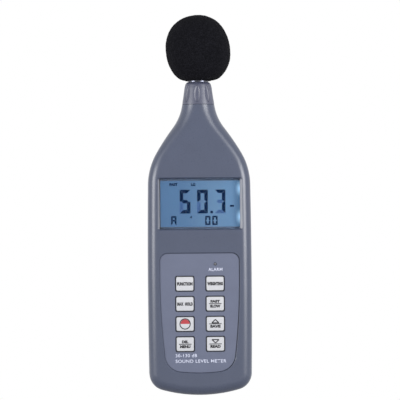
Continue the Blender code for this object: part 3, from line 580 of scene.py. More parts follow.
def outline_stations(arcs):
    """Walk the chain of arcs, and give each station's place and its outward direction."""
    place = Vector((0.0, 0.0))
    heading = 0.0
    stations = [(place.copy(), Vector((0.0, -1.0)))]
    for radius, turn, steps in arcs:
        for _ in range(steps):
            centre = place + radius * Vector((-sin(heading), cos(heading)))
            heading += radians(turn) / steps
            outward = Vector((sin(heading), -cos(heading)))
            place = centre + radius * outward
            stations.append((place.copy(), outward))
    return stations


def section(place, outward, inset, side, neck_radius, parting):
    """One section of the housing, from its right parting edge round the face to its left one."""
    blend = ease(place.y, *NECK_BLEND)
    half_depth = HALF_DEPTH + (neck_radius - HALF_DEPTH) * blend - inset
    edge = EDGE_RADIUS + (neck_radius - EDGE_RADIUS) * blend - inset
    inward = -(outward * (1.0 - blend) + Vector((1.0, 0.0)) * blend).normalized()
    if place.x < 1e-6:
        inward = Vector((0.0, 1.0))
    start = place + inward * inset
    right = []
    if parting > 0.0:
        seam = start + inward * SEAM_CHAMFER
        right.append((max(seam.x, 0.0), parting, seam.y))
        parting += SEAM_CHAMFER
    right.append((start.x, parting, start.y))
    for step in range(EDGE_STEPS + 1):
        angle = pi / 2 * step / EDGE_STEPS
        moved = start + inward * edge * (1.0 - cos(angle))
        depth = half_depth - edge + edge * sin(angle)
        right.append((max(moved.x, 0.0), max(depth, parting), moved.y))
    left = [(-x, y, z) for x, y, z in reversed(right)]
    return [(x, side * y, z) for x, y, z in right + left]


def housing_solid(side, inset=0.0, parting=SEAM, drop_last=0):
    """A closed half of the housing, lofted from its sections: side -1 is the front, 1 the back."""
    stations = outline_stations(OUTLINE_ARCS)
    neck_radius = stations[-1][0].x
    if drop_last:
        stations = stations[:-drop_last]
    bm = bmesh.new()
    rows = []
    for place, outward in stations:
        points = section(place, outward, inset, side, neck_radius, parting)
        rows.append([bm.verts.new(point) for point in points])
    for lower, upper in zip(rows, rows[1:]):
        for i in range(len(lower) - 1):
            bm.faces.new((lower[i], lower[i + 1], upper[i + 1], upper[i]))
    bm.faces.new(rows[-1])
    bm.faces.new([row[0] for row in rows] + [row[-1] for row in reversed(rows)])
    bmesh.ops.remove_doubles(bm, verts=bm.verts, dist=0.0005 * MM)
    return mesh_from(bm, "housing_solid")


def lofted(outlines):
    """A closed solid through outlines of equal point counts, each a list of (x, y, z) points."""
    bm = bmesh.new()
    rings = [[bm.verts.new(point) for point in outline] for outline in outlines]
    for first, second in zip(rings, rings[1:]):
        join_rings(bm, first, second)
    bm.faces.new(rings[0])
    bm.faces.new(rings[-1])
    return mesh_from(bm, "lofted")


def rounded_rectangle(width, height, corner, y, z=0.0, x=0.0, steps=6):
    """The points of a rectangle with round corners that faces the front."""
    points = []
    for quarter, (side, level) in enumerate(((1, 1), (-1, 1), (-1, -1), (1, -1))):
        right, up = side * (width / 2 - corner), level * (height / 2 - corner)
        for step in range(steps + 1):
            angle = pi / 2 * (quarter + step / steps)
            points.append((x + right + corner * cos(angle), y, z + up + corner * sin(angle)))
    return points


def window_cutters():
    """The display's opening: a sloped mouth with a soft rim, then straight through the wall."""
    width, height = WINDOW_SIZE
    wide, tall = WINDOW_MOUTH
    layers = (
        (wide + 1.2 * MM, tall + 1.2 * MM, 1.6 * MM, HALF_DEPTH + 0.35 * MM),
        (wide + 0.3 * MM, tall + 0.3 * MM, 1.3 * MM, HALF_DEPTH - 0.02 * MM),
        (wide - 0.2 * MM, tall, 1.2 * MM, HALF_DEPTH - 0.3 * MM),
        (width + 0.1 * MM, height + 0.05 * MM, 0.9 * MM, HALF_DEPTH - 1.05 * MM),
        (width, height, 0.9 * MM, HALF_DEPTH - WINDOW_SLOPE),
        (width, height, 0.9 * MM, HALF_DEPTH - 2 * WALL),
    )
    return lofted([rounded_rectangle(w, h, corner, -y, WINDOW_Z) for w, h, corner, y in layers])


def panel_outline(grow):
    """The keypad panel's outline: a bowed bottom with large corners, and sides that lean out to the top."""
    right = []
    for place, outward in outline_stations(PANEL_ARCS):
        right.append(place + Vector((0.0, PANEL_LOW)) + outward * grow)
    corner = Vector((right[-1].x - grow - PANEL_TOP_CORNER, PANEL_HIGH - PANEL_TOP_CORNER))
    for step in range(PANEL_CORNER_STEPS + 1):
        angle = pi / 2 * step / PANEL_CORNER_STEPS
        right.append(corner + (PANEL_TOP_CORNER + grow) * Vector((cos(angle), sin(angle))))
    left = [Vector((-point.x, point.y)) for point in reversed(right[1:])]
    return [point + Vector((KEYPAD_X, 0.0)) for point in right + left]


def panel_solid(*layers):
    """A slab with the keypad panel's outline, through layers of (growth, distance in front)."""
    return lofted([[(point.x, -front, point.y) for point in panel_outline(grow)] for grow, front in layers])


KEY_CENTRES = {name: box_middle(name) for name in KEYS}
LAMP_X, LAMP_Z = box_middle("alarm_led")
LAMP_HOLE = 0.95 * MM


def key_hole_steps(front, back):
    """Cuts for the eight key holes and the lamp's hole."""
    steps = []
    for x, z in KEY_CENTRES.values():
        outline = [rounded_rectangle(*KEY_HOLE, KEY_CORNER + 0.3 * MM, -y, z, x) for y in (front, back)]
        steps.append(cut(lofted(outline)))
    steps.append(cut(rod(LAMP_HOLE, front - back, (LAMP_X, -back, LAMP_Z), "front", 32)))
    return steps


def side_cuts():
    """Cuts for the neck's bore and for the two round holes in the right side."""
    steps = [cut(rod(NECK_BORE, 20 * MM, (0.0, 0.0, 163 * MM), "up", 64))]
    for z, radius in SIDE_HOLES:
        profile = ((0.0, 9 * MM), (radius + 1.6 * MM, 9 * MM), (radius + 0.25 * MM, 4.75 * MM),
                   (radius, 4.4 * MM), (radius, 0.0), (0.0, 0.0))
        steps.append(cut(turned(profile, (27 * MM, SIDE_HOLE_Y, z), "right", 48)))
    return steps


def front_housing():
    """The front shell, with its window and the keypad's pocket."""
    rim = HALF_DEPTH + 0.3 * MM
    shell = carve(
        housing_solid(-1),
        cut(housing_solid(-1, inset=WALL, parting=-2 * MM, drop_last=NECK_STATIONS)),
        cut(window_cutters()),
        cut(panel_solid((GAP + 0.75 * MM, rim), (GAP + 0.42 * MM, HALF_DEPTH),
                                   (GAP + 0.1 * MM, HALF_DEPTH - 0.25 * MM), (GAP, HALF_DEPTH - 0.45 * MM),
                                   (GAP, PANEL_BACK - GAP))),
        *key_hole_steps(HALF_DEPTH + MM, HALF_DEPTH - 2 * WALL),
        *side_cuts(),
    )
    return add_object("front_shell", shaded(shell), HOUSING, replaces=("front_housing",))


def rear_housing():
    """The rear shell, with the battery tub, the cover's slot and grooves, and the screw bosses."""
    slot_half = COVER_HALF_WIDTH + GAP
    groove_half = TONGUE_HALF_WIDTH + GAP
    slot_floor = COVER_INNER - GAP
    tub = carve(wide_block(25.6 * MM, GAP, HALF_DEPTH, 2 * MM, 68.4 * MM),
                ("INTERSECT", housing_solid(1, inset=WALL / 2)))
    steps = [
        cut(housing_solid(1, inset=WALL, parting=-2 * MM, drop_last=NECK_STATIONS)),
        join(tub),
        join(wide_block(24.2 * MM, TUB_FLOOR - 1.2 * MM, 2 * MM, 7.2 * MM, 63.8 * MM)),
        cut(wide_block(TUB_HALF_WIDTH, TUB_FLOOR, 14 * MM, TUB_LOW, TUB_HIGH)),
        cut(wide_block(slot_half, slot_floor, 15 * MM, -MM, COVER_TOP + GAP)),
        cut(wide_block(groove_half, slot_floor + 0.02 * MM, TONGUE_OUTER + GAP, -1.5 * MM,
                                  COVER_TOP + GAP - 0.05 * MM)),
    ]
    for x, z in HOUSING_SCREWS:
        bore = ((0.0, 15 * MM), (4.2 * MM, 15 * MM), (3.3 * MM, HALF_DEPTH + 0.05 * MM),
                (3.0 * MM, HALF_DEPTH - 0.35 * MM), (3.0 * MM, SCREW_SEAT), (1.6 * MM, SCREW_SEAT),
                (1.6 * MM, -MM), (0.0, -MM))
        steps.append(join(rod(4.3 * MM, 11.6 * MM, (x, GAP / 2, z), "back", 40)))
        steps.append(cut(turned(bore, (x, 0.0, z), "back", 40)))
    steps.append(join(rod(6.8 * MM, 10.4 * MM, (0.0, 1.4 * MM, SOCKET_Z), "back", 48)))
    steps.append(cut(rod(4.9 * MM, 12 * MM, (0.0, 2.7 * MM, SOCKET_Z), "back", 64)))
    shell = carve(housing_solid(1), *steps, *side_cuts())
    return add_object("rear_shell", shaded(shell), HOUSING, replaces=("rear_housing",))


def battery_cover():
    """The sliding cover, with a ribbed thumb grip and an arrow moulded in."""
    slab = wide_block(COVER_HALF_WIDTH, COVER_INNER, 14 * MM, COVER_LOW, COVER_TOP, corner=0.8 * MM)
    tongues = wide_block(TONGUE_HALF_WIDTH, COVER_INNER + 0.02 * MM, TONGUE_OUTER, COVER_LOW + 0.5 * MM,
                         COVER_TOP - 0.5 * MM)
    steps = [join(tongues), ("INTERSECT", housing_solid(1, parting=-MM))]
    for number in range(GRIP_RIBS):
        z = GRIP_TOP - GRIP_PITCH * number
        groove = wide_block(GRIP_HALF_WIDTH, HALF_DEPTH - 0.5 * MM, HALF_DEPTH + MM,
                            z - 0.45 * MM, z + 0.45 * MM, corner=0.44 * MM)
        steps.append(cut(groove))
    arrow = mm((-3.2, 41.8), (3.2, 41.8), (0.0, 37.2))
    steps.append(cut(flat_piece([arrow], -HALF_DEPTH + 0.35 * MM, 1.5 * MM, "arrow")))
    cover = carve(slab, *steps)
    return add_object("battery_door", shaded(cover), HOUSING, "battery_cover", ("battery_cover",))


# ---------------------------------------------------------------- nose, microphone and windscreen

def flute_depth(height, angle):
    """How deep the flutes are at a place on the cone."""
    share = (height - FLUTE_LOW) / (FLUTE_HIGH - FLUTE_LOW)
    if not 0.0 < share < 1.0:
        return 0.0
    length_shape = sqrt(1.0 - (2.0 * share - 1.0) ** 2)
    pitch = 2 * pi / FLUTES
    turn = (angle + pi / 2 - FLUTE_TURN) % pitch
    away = min(turn, pitch - turn) * FLUTE_RADIUS
    half_width = FLUTE_HALF_WIDTH * length_shape
    if away >= half_width:
        return 0.0
    return FLUTE_DEPTH * length_shape ** 0.5 * (1.0 - (away / half_width) ** FLUTE_POWER)


def nose_cone():
    """The fluted cone, from rings of points pressed in at the flutes."""
    sides = 288
    heights = [CONE_BASE, CONE_BASE + 0.12 * MM]
    heights += [CONE_BASE + 0.3 * MM + FLUTE_ROW * row for row in range(FLUTE_ROWS)]
    heights += [height for height, _ in CONE_PROFILE[5:]]

    def radius_at(height):
        for (low, near), (high, far) in zip(CONE_PROFILE, CONE_PROFILE[1:]):
            if height <= high:
                return near + (far - near) * (height - low) / (high - low)
        return CONE_PROFILE[-1][1]

    bm = bmesh.new()
    rings = []
    for number, height in enumerate(heights):
        ring = []
        for side in range(sides):
            angle = 2 * pi * side / sides
            radius = radius_at(height) - flute_depth(height, angle) - (0.1 * MM if number == 0 else 0.0)
            ring.append(bm.verts.new((radius * cos(angle), radius * sin(angle), height)))
        rings.append(ring)
    for radius, height in ((CONE_BORE, CONE_TOP), (CONE_BORE, CONE_FOOT), (CONE_FOOT_RADIUS, CONE_FOOT),
                           (CONE_FOOT_RADIUS, CONE_BASE)):
        rings.append(level_ring(bm, radius, height, sides))
    for first, second in zip(rings, rings[1:] + rings[:1]):
        join_rings(bm, first, second)
    mesh = mesh_from(bm, "fluted_cone")
    return add_object("fluted_cone", shaded(mesh, 50), CONE, replaces=("nose_cone",))


GRID_TOP = 208.4 * MM
GRID_RADIUS = 6.35 * MM
GRID_INNER = 5.9 * MM
GRID_SIDE_SLOTS = 16
GRID_TOP_SLOTS = 7
GRID_SLOT_PITCH = 1.35 * MM
GRID_SLOT_REACH = 4.9 * MM


def protection_grid():
    """The slotted grid over the microphone's diaphragm."""
    top = GRID_TOP
    shell = ((0.0, top), (5.5 * MM, top), (5.95 * MM, top - 0.12 * MM), (6.25 * MM, top - 0.4 * MM),
             (GRID_RADIUS, top - 0.8 * MM), *mm((6.35, 199.2), (6.2, 199.05), (6.35, 198.9), (6.35, 195.0),
                                                (5.9, 195.0)),
             (GRID_INNER, top - 0.9 * MM), (0.0, top - 0.9 * MM))
    steps = []
    for number in range(GRID_TOP_SLOTS):
        x = GRID_SLOT_PITCH * (number - GRID_TOP_SLOTS // 2)
        half = sqrt(GRID_SLOT_REACH ** 2 - x * x)
        slot = block((x - 0.38 * MM, -half, top - 2 * MM), (x + 0.38 * MM, half, top + MM), 0.36 * MM, axis=2)
        steps.append(cut(slot))
    for number in range(GRID_SIDE_SLOTS):
        slot = block(*mm((5.0, -0.4, 202.2), (7.0, 0.4, 206.4)), corner=0.38 * MM, axis=0)
        slot.transform(Matrix.Rotation(2 * pi * (number + 0.5) / GRID_SIDE_SLOTS, 4, "Z"))
        steps.append(cut(slot))
    grid = carve(turned(shell, sides=96), *steps)
    add_object("protection_grid", shaded(grid), DARK_METAL, replaces=("mic_grid",))


def microphone():
    """The collar, the preamplifier's barrel, the capsule and the grid of the half-inch microphone."""
    collar = mm((4.6, 194.7), (6.2, 194.7), (6.35, 194.55), (6.35, 194.08), (6.15, 194.0), (6.15, 193.85),
                (6.35, 193.77), (6.35, 193.3), (4.6, 193.3))
    barrel = mm((0.0, 192.9), (6.2, 192.9), (6.3, 192.8), (6.3, 170.0), (4.8, 170.0), (4.8, 190.0),
                (0.0, 190.0))
    capsule = mm((0.0, 202.6), (5.4, 202.6), (5.6, 202.4), (5.6, 195.4), (4.2, 194.9), (0.0, 194.9))
    ring = shaded(turned(collar, sides=96, ring=True))
    add_object("collar_ring", ring, DARK_METAL, replaces=("mic_collar",))
    tube = shaded(turned(barrel))
    add_object("preamp_barrel", tube, DARK_METAL, replaces=("mic_barrel",))
    body = shaded(turned(capsule))
    add_object("capsule_body", body, BLACK, replaces=("mic_capsule",))
    protection_grid()


def foam_distance(direction):
    """How far the foam's skin is from its middle in one direction: a leaning ball, cut flat at its foot."""
    upright = direction @ FOAM_TILT
    height, power = (FOAM_UPPER, FOAM_POWERS[0]) if upright.z > 0.0 else (FOAM_LOWER, FOAM_POWERS[1])
    across = hypot(upright.x, upright.y) / FOAM_RADIUS
    ball = (across ** power + abs(upright.z / height) ** power) ** (-1.0 / power)
    if direction.z > -0.1:
        return ball
    foot = (FOAM_WAIST - FOAM_BOTTOM) / -direction.z
    return (ball ** -FOOT_BLEND + foot ** -FOOT_BLEND) ** (-1.0 / FOOT_BLEND)


def foam_point(centre, polar, turn):
    """A point on the foam's skin: the ball's shape, pressed in at the pores and uneven overall."""
    across = sin(polar)
    direction = Vector((across * cos(turn), across * sin(turn), cos(polar)))
    place = centre + direction * foam_distance(direction)
    pores = noise.noise(place / PORE_SIZE) - 0.6
    swell = noise.noise(place / SWELL_SIZE) - 0.5
    return place + direction * (PORE_DEPTH * pores + SWELL_DEPTH * swell)


def windscreen():
    """The foam ball, with a bore for the microphone."""
    sides = 300
    rows = 130
    foot_angle = pi - atan2(FOOT_RADIUS, FOAM_WAIST - FOAM_BOTTOM)
    centre = Vector((0.2 * MM, 0.0, FOAM_WAIST))
    bm = bmesh.new()
    rings = []
    for row in range(1, rows + 1):
        polar = foot_angle * row / rows
        points = [foam_point(centre, polar, 2 * pi * side / sides) for side in range(sides)]
        rings.append([bm.verts.new(point) for point in points])
    for radius, height in ((7.9 * MM, FOAM_BOTTOM - 0.02 * MM), (7.3 * MM, FOAM_BOTTOM + 0.05 * MM),
                           (FOAM_BORE, FOAM_BOTTOM + 0.45 * MM), (FOAM_BORE, FOAM_BORE_TOP)):
        rings.append(level_ring(bm, radius, height, sides))
    top = bm.verts.new(centre + Vector((0.0, 0.0, foam_distance(Vector((0.0, 0.0, 1.0))) - 0.1 * MM)))
    end = bm.verts.new((0.0, 0.0, FOAM_BORE_TOP))
    for side in range(sides):
        after = (side + 1) % sides
        bm.faces.new((top, rings[0][side], rings[0][after]))
        bm.faces.new((end, rings[-1][after], rings[-1][side]))
    for first, second in zip(rings, rings[1:]):
        join_rings(bm, first, second)
    mesh = shaded(mesh_from(bm, "foam_ball"), 80)
    made = add_object("foam_ball", mesh, FOAM, "windscreen", ("windscreen",))
    return made


# ---------------------------------------------------------------- display

DIGIT_SLANT = 0.005


def segment_outline(part, w, h, t, g):
    """One of the seven segments in a box w wide and h high, t thick, with gaps g at its mitred ends."""
    mid = h / 2
    if part == "g":
        return ((t * 0.55 + g, mid), (t + g, mid + t / 2), (w - t - g, mid + t / 2), (w - t * 0.55 - g, mid),
                (w - t - g, mid - t / 2), (t + g, mid - t / 2))
    top_bar = ((g, h), (w - g, h), (w - t - g, h - t), (t + g, h - t))
    upper_left = ((0.0, h - g), (0.0, mid + g), (t * 0.45, mid + g), (t, mid + t / 2 + g), (t, h - t - g))
    points = top_bar if part in "ad" else upper_left
    return [(w - x if part in "bc" else x, h - z if part in "cde" else z) for x, z in points]


def digit(parts, left, low, size, thick, gap=0.07 * MM):
    """The outlines of a digit's segments, placed and slanted."""
    outlines = []
    for part in parts:
        points = segment_outline(part, size[0], size[1], thick, gap)
        outlines.append([(left + x + DIGIT_SLANT * z, low + z) for x, z in points])
    return outlines


BIG_DIGIT = {"low": WINDOW_Z - 5.95 * MM, "size": (6.6 * MM, 14.6 * MM), "thick": 2.15 * MM}
SMALL_DIGIT = {"low": WINDOW_Z - 13.2 * MM, "size": (3.3 * MM, 5.7 * MM), "thick": 1.05 * MM,
               "gap": 0.05 * MM}
TENS, UNITS, TENTHS = -12.2 * MM, -1.5 * MM, 9.35 * MM
WEIGHTING, MEMORY_TENS, MEMORY_UNITS = -17.6 * MM, 3.4 * MM, 7.8 * MM
POINT_SIDE = 1.55 * MM


def rectangle(left, right, low, high):
    """The outline of an upright rectangle."""
    return [(left, low), (right, low), (right, high), (left, high)]


def segments():
    """The display's segments by tone: 50.3 in large digits, with some of them fading, and A and 00 below."""
    dark = digit("acdfg", TENS, **BIG_DIGIT) + digit("abcdf", UNITS, **BIG_DIGIT)
    dark += digit("abc", TENTHS, **BIG_DIGIT)
    dark += digit("abcefg", WEIGHTING, **SMALL_DIGIT)
    dark += digit("abcdef", MEMORY_TENS, **SMALL_DIGIT) + digit("abcdef", MEMORY_UNITS, **SMALL_DIGIT)
    foot = BIG_DIGIT["low"]
    point = rectangle(6.7 * MM, 6.7 * MM + POINT_SIDE, foot, foot + POINT_SIDE)
    dash = rectangle(18.8 * MM, 21.3 * MM, WINDOW_Z - 2.0 * MM, WINDOW_Z - 0.9 * MM)
    pointer = [(x, WINDOW_Z + z) for x, z in mm((-6.1, -8.6), (-4.7, -9.0), (-4.9, -7.3))]
    half = digit("e", TENS, **BIG_DIGIT) + digit("e", UNITS, **BIG_DIGIT) + digit("dg", TENTHS, **BIG_DIGIT)
    faint = digit("g", UNITS, **BIG_DIGIT)
    return (("segments_dark", dark + [point, dash, pointer], SEGMENT_DARK),
            ("segments_half", half, SEGMENT_HALF),
            ("segments_faint", faint, SEGMENT_FAINT))


def display():
    """The glass with its digits, behind the clear window and inside the black holder."""
    # Painted shade: a black strip along the display's left edge stands in for the shade of the window's left
    # wall.
    left, half_z = 0.05 * MM - WINDOW_SIZE[0] / 2, WINDOW_SIZE[1] / 2 - 0.1 * MM
    shade_strip = block((left, -10.8 * MM, WINDOW_Z - half_z), (left + 0.55 * MM, -10.4 * MM, WINDOW_Z + half_z))
    add_object("display_shade_strip", shaded(shade_strip), BLACK)
    low, high = local_box("lcd_glass")
    glass = block(low, high, rim=0.15 * MM)
    add_object("display_panel", shaded(glass), DISPLAY, replaces=("lcd_glass",))
    front = 0.04 * MM - low.y
    for name, outlines, material in segments():
        add_object(name, flat_piece(outlines, front, INK, name), material)
    for name, text, x, z, width in (("fast", "FAST", -15.9 * MM, 11.95 * MM, 5.0 * MM),
                                    ("log", "LG", -3.8 * MM, 11.85 * MM, 2.7 * MM)):
        lettering(f"display_mark_{name}", text, (width, 1.85 * MM), (x, WINDOW_Z + z), front, SEGMENT_DARK,
                  "display_glass", weight=0.07)


# ---------------------------------------------------------------- keypad

def lettering(name, text, size, middle, front, material, slot, body="meter", weight=0.075, spacing=1.0):
    """Raised ink in plain capitals, scaled to a size of (width, cap height)."""
    curve = bpy.data.curves.new(name, "FONT")
    curve.body = text
    curve.size = 1.0
    curve.resolution_u = 4
    curve.offset = weight
    curve.space_character = spacing
    probe = in_scene(name, curve)
    mesh = evaluated_mesh(probe)
    bpy.data.objects.remove(probe, do_unlink=True)
    low = [min(vert.co[axis] for vert in mesh.vertices) for axis in (0, 1)]
    high = [max(vert.co[axis] for vert in mesh.vertices) for axis in (0, 1)]
    wide = size[0] / (high[0] - low[0])
    tall = size[1] / (high[1] - low[1])
    for vert in mesh.vertices:
        x = (vert.co.x - (low[0] + high[0]) / 2) * wide
        z = (vert.co.y - (low[1] + high[1]) / 2) * tall
        vert.co = (middle[0] + x, -front, middle[1] + z)
    bm = bmesh.new()
    bm.from_mesh(mesh)
    bmesh.ops.remove_doubles(bm, verts=bm.verts, dist=0.001 * MM)
    made = add_object(name, mesh_from(bm, name), material, body)
    thick = made.modifiers.new("ink", "SOLIDIFY")
    thick.thickness = INK
    thick.offset = 0.0
    return made


def half_disc_outline(radius, middle, steps=48):
    """The upper half of a disc."""
    turn = [pi * step / steps for step in range(steps + 1)]
    return [(middle[0] + radius * cos(a), middle[1] + radius * sin(a)) for a in turn]


def ring_outlines(radius, width, middle, steps=48):
    """A flat ring as short pieces."""
    pieces = []
    for step in range(steps):
        first = 2 * pi * step / steps
        second = 2 * pi * (step + 1) / steps
        corners = ((radius, first), (radius, second), (radius - width, second), (radius - width, first))
        pieces.append([(middle[0] + r * cos(a), middle[1] + r * sin(a)) for r, a in corners])
    return pieces


def arrow_outlines(middle, level):
    """An open triangle that points up (level 1) or down (level -1), as three bars."""
    half, height, line = 2.15 * MM, 2.05 * MM, 0.66 * MM
    tip = (middle[0], middle[1] + level * height / 2)
    feet = [(middle[0] + side * half, middle[1] - level * height / 2) for side in (-1, 1)]
    bars = []
    for first, second in ((feet[0], tip), (tip, feet[1]), (feet[0], feet[1])):
        along = Vector((second[0] - first[0], second[1] - first[1])).normalized()
        across = Vector((-along.y, along.x)) * line / 2
        corners = ((first, 1), (second, 1), (second, -1), (first, -1))
        bars.append([(end[0] + side * across.x, end[1] + side * across.y) for end, side in corners])
    return bars


def key_legend(name, legend, x, z):
    """What is printed on a key: one line, a power symbol, or two lines with a bar between them."""
    front = KEY_FRONT + 0.015 * MM

    def marks(part, outlines, material=KEY_INK):
        piece = flat_piece(outlines, front, INK, f"{name}_{part}")
        add_object(f"{name}_{part}", piece, material, name)

    def text(part, words, tall, level, width, **style):
        lettering(f"{name}_{part}", words, (width * MM, tall * MM), (x, z + level * MM), front, KEY_INK,
                  "white_plastic", name, **style)

    if legend == "circle":
        middle = (x, z + 0.1 * MM)
        marks("ring", ring_outlines(3.45 * MM, 0.6 * MM, middle))
        marks("half", [half_disc_outline(2.8 * MM, middle)], RED_INK)
        return
    if isinstance(legend, str):
        text("legend", legend, 2.15, -0.05, 9.6, weight=0.085, spacing=1.12)
        return
    upper, lower = legend
    printed = [rectangle(x - 3.9 * MM, x + 3.9 * MM, z - 0.25 * MM, z + 0.25 * MM)]
    if upper in ("up", "down"):
        printed += arrow_outlines((x, z + 1.65 * MM), 1 if upper == "up" else -1)
    else:
        text("upper", upper, 1.75, 1.45, 5.8 if len(upper) > 3 else 4.0)
    marks("marks", printed)
    text("lower", lower, 1.85, -1.5, 6.4)


def key_mesh(x, z):
    """One key: a cap with soft rims on a flange and a post."""
    half_x, half_z = KEY_SIZE[0] / 2, KEY_SIZE[1] / 2
    cap = block((x - half_x, -KEY_FRONT, z - half_z), (x + half_x, -9.8 * MM, z + half_z), KEY_CORNER,
                steps=8, rim=0.28 * MM)
    flange = block((x - 6.8 * MM, -10.3 * MM, z - 5.5 * MM), (x + 6.8 * MM, -9.5 * MM, z + 5.5 * MM))
    post = rod(2.0 * MM, 3.6 * MM, (x, -10.0 * MM, z), "back", 32)
    return carve(cap, join(flange), join(post))


def key_gap_shade_rim(name, x, z):
    """The dark rubber rim that fills most of the gap round a key: partly a real rubber rim, partly painted
    shade for the gap.
    """
    hole = (KEY_HOLE[0] - 0.12 * MM, KEY_HOLE[1] - 0.12 * MM)
    inner = (KEY_SIZE[0] + 0.24 * MM, KEY_SIZE[1] + 0.24 * MM)
    corner = KEY_CORNER + 0.2 * MM
    outer = lofted([rounded_rectangle(*hole, corner, -y, z, x) for y in (12.25 * MM, 10.75 * MM)])
    core = lofted([rounded_rectangle(*inner, KEY_CORNER, -y, z, x) for y in (13.0 * MM, 10.0 * MM)])
    add_object(f"{name}_rim", shaded(carve(outer, cut(core))), RUBBER)


PANEL_TEXTS = (
    ("lamp", "ALARM", *mm((8.7, 1.95), (9.25, 77.5)), 0.02, 1.08),
    ("range", "30-130 dB", *mm((13.2, 2.05), (-9.0, 24.75)), 0.015, 1.1),
    ("kind", "SOUND LEVEL METER", *mm((31.2, 2.05), (0.0, 21.3)), 0.015, 1.1),
)


def keypad():
    """The printed panel, the keys with their legends, and the alarm lamp."""
    slab = panel_solid((-0.02 * MM, PANEL_FRONT), (0.1 * MM, PANEL_FRONT - 0.12 * MM), (0.1 * MM, PANEL_BACK))
    slab.transform(Matrix.Translation((-0.18 * MM, 0.0, 0.0)))
    panel = carve(slab, *key_hole_steps(PANEL_FRONT + MM, PANEL_BACK - MM))
    add_object("panel_overlay", shaded(panel), PANEL, replaces=("keypad_panel",))
    for name, (x, z) in KEY_CENTRES.items():
        add_object(f"{name}_cap", shaded(key_mesh(x, z)), KEY, name, (name,))
        key_gap_shade_rim(name, x, z)
        key_legend(name, KEYS[name], x, z)
    for name, text, size, middle, weight, spacing in PANEL_TEXTS:
        lettering(f"panel_text_{name}", text, size, middle, PANEL_FRONT + 0.015 * MM, PANEL_INK, "panel",
                  weight=weight, spacing=spacing)
    profile = mm((0.0, 12.55), (0.35, 12.5), (0.6, 12.3), (0.65, 12.1), (0.65, 9.5), (1.5, 9.0), (1.5, 3.9),
                 (0.0, 3.9))
    lamp = turned(profile, (LAMP_X, 0.0, LAMP_Z), "front", 40)
    add_object("lamp_lens", shaded(lamp), LAMP, replaces=("alarm_led",))


# ---------------------------------------------------------------- back and sides

THREAD_PITCH = 1.27 * MM


def tripod_insert():
    """The brass insert, with a thread of turned ridges."""
    profile = [*mm((4.2, 12.9), (4.6, 12.5), (4.6, 3.0)), (SOCKET_RADIUS, 3.0 * MM)]
    crest = SOCKET_RADIUS + 0.02 * MM
    height = 3.4 * MM
    while height < 12.2 * MM:
        profile += [(crest, height), (crest + 0.6 * MM, height + 0.5 * MM), (crest, height + MM)]
        height += THREAD_PITCH
    profile.append((SOCKET_RADIUS + 0.5 * MM, 12.9 * MM))
    insert = turned(profile, (0.0, 0.0, SOCKET_Z), "back", 72, ring=True)
    add_object("threaded_insert", shaded(insert, 30), BRASS, replaces=("tripod_insert",))


SCREW_HEAD = 2.5 * MM
SCREW_HEAD_HEIGHT = 1.8 * MM
SCREW_SHANK = 1.25 * MM
SCREW_LENGTH = 11.5 * MM
SCREW_PITCH = 0.9 * MM
RECESS_ARMS = mm((1.55, 0.34), (0.34, 1.55))


def screws():
    """The four long screws: a domed head with a deep cross recess, and a threaded shank."""
    seat = SCREW_SEAT + GAP
    top = seat + SCREW_HEAD_HEIGHT
    profile = [(0.0, top), (SCREW_HEAD * 0.5, top - 0.05 * MM), (SCREW_HEAD * 0.82, top - 0.35 * MM),
               (SCREW_HEAD, top - 0.9 * MM), (SCREW_HEAD, seat), (SCREW_SHANK, seat)]
    depth = 1.5 * MM
    while depth < SCREW_LENGTH - 2.0 * MM:
        profile += [(SCREW_SHANK - 0.25 * MM, seat - depth), (SCREW_SHANK, seat - depth - SCREW_PITCH / 2)]
        depth += SCREW_PITCH
    profile.append((0.0, seat - SCREW_LENGTH))
    for number, (x, z) in enumerate(HOUSING_SCREWS, 1):
        arms = []
        for half_x, half_z in RECESS_ARMS:
            arm = block((x - half_x, seat + 0.35 * MM, z - half_z), (x + half_x, seat + 3 * MM, z + half_z))
            arms.append(cut(arm))
        screw = carve(turned(profile, (x, 0.0, z), "back", 48), *arms)
        add_object(f"long_screw_{number}", shaded(screw, 30), SCREW_STEEL,
                   replaces=(f"housing_screw_{number}",))


CAN_SHAPE = ((0.0, 1.0), (1.7, 1.0), (1.9, 0.995), (1.9, 0.977), (2.4, 0.975), (4.4, 0.974), (4.85, 0.968),
             (4.85, 0.006), (4.4, 0.0), (0.0, 0.0))


def batteries():
    """The four cells: a wrap with a coloured band, a steel can and its contact."""
    for number in range(1, 5):
        cell = f"battery_{number}"
        low, high = local_box(cell)
        radius = (high.x - low.x) / 2 / MM
        length = high.z - low.z
        level = 1.0 if number % 2 else -1.0
        wrap_shape = ((4.86, 0.7), (radius, 0.7), (radius, 0.015), (5.05, 0.004), (4.6, 0.003), (4.6, 0.02),
                      (4.86, 0.03))
        band_shape = ((4.6, 0.976), (4.95, 0.972), (radius, 0.962), (radius, 0.703), (4.86, 0.703),
                      (4.86, 0.965), (4.6, 0.974))
        for part, material, shape in (("can", STEEL, CAN_SHAPE), ("wrap", WRAP, wrap_shape),
                                      ("band", WRAP_BAND, band_shape)):
            profile = [(r * MM, level * (share - 0.5) * length) for r, share in shape]
            mesh = turned(profile, (low + high) / 2, "up", 64, ring=part != "can")
            stands_for = (cell,) if part == "can" else ()
            add_object(f"cell_{number}_{part}", shaded(mesh), material, replaces=stands_for)


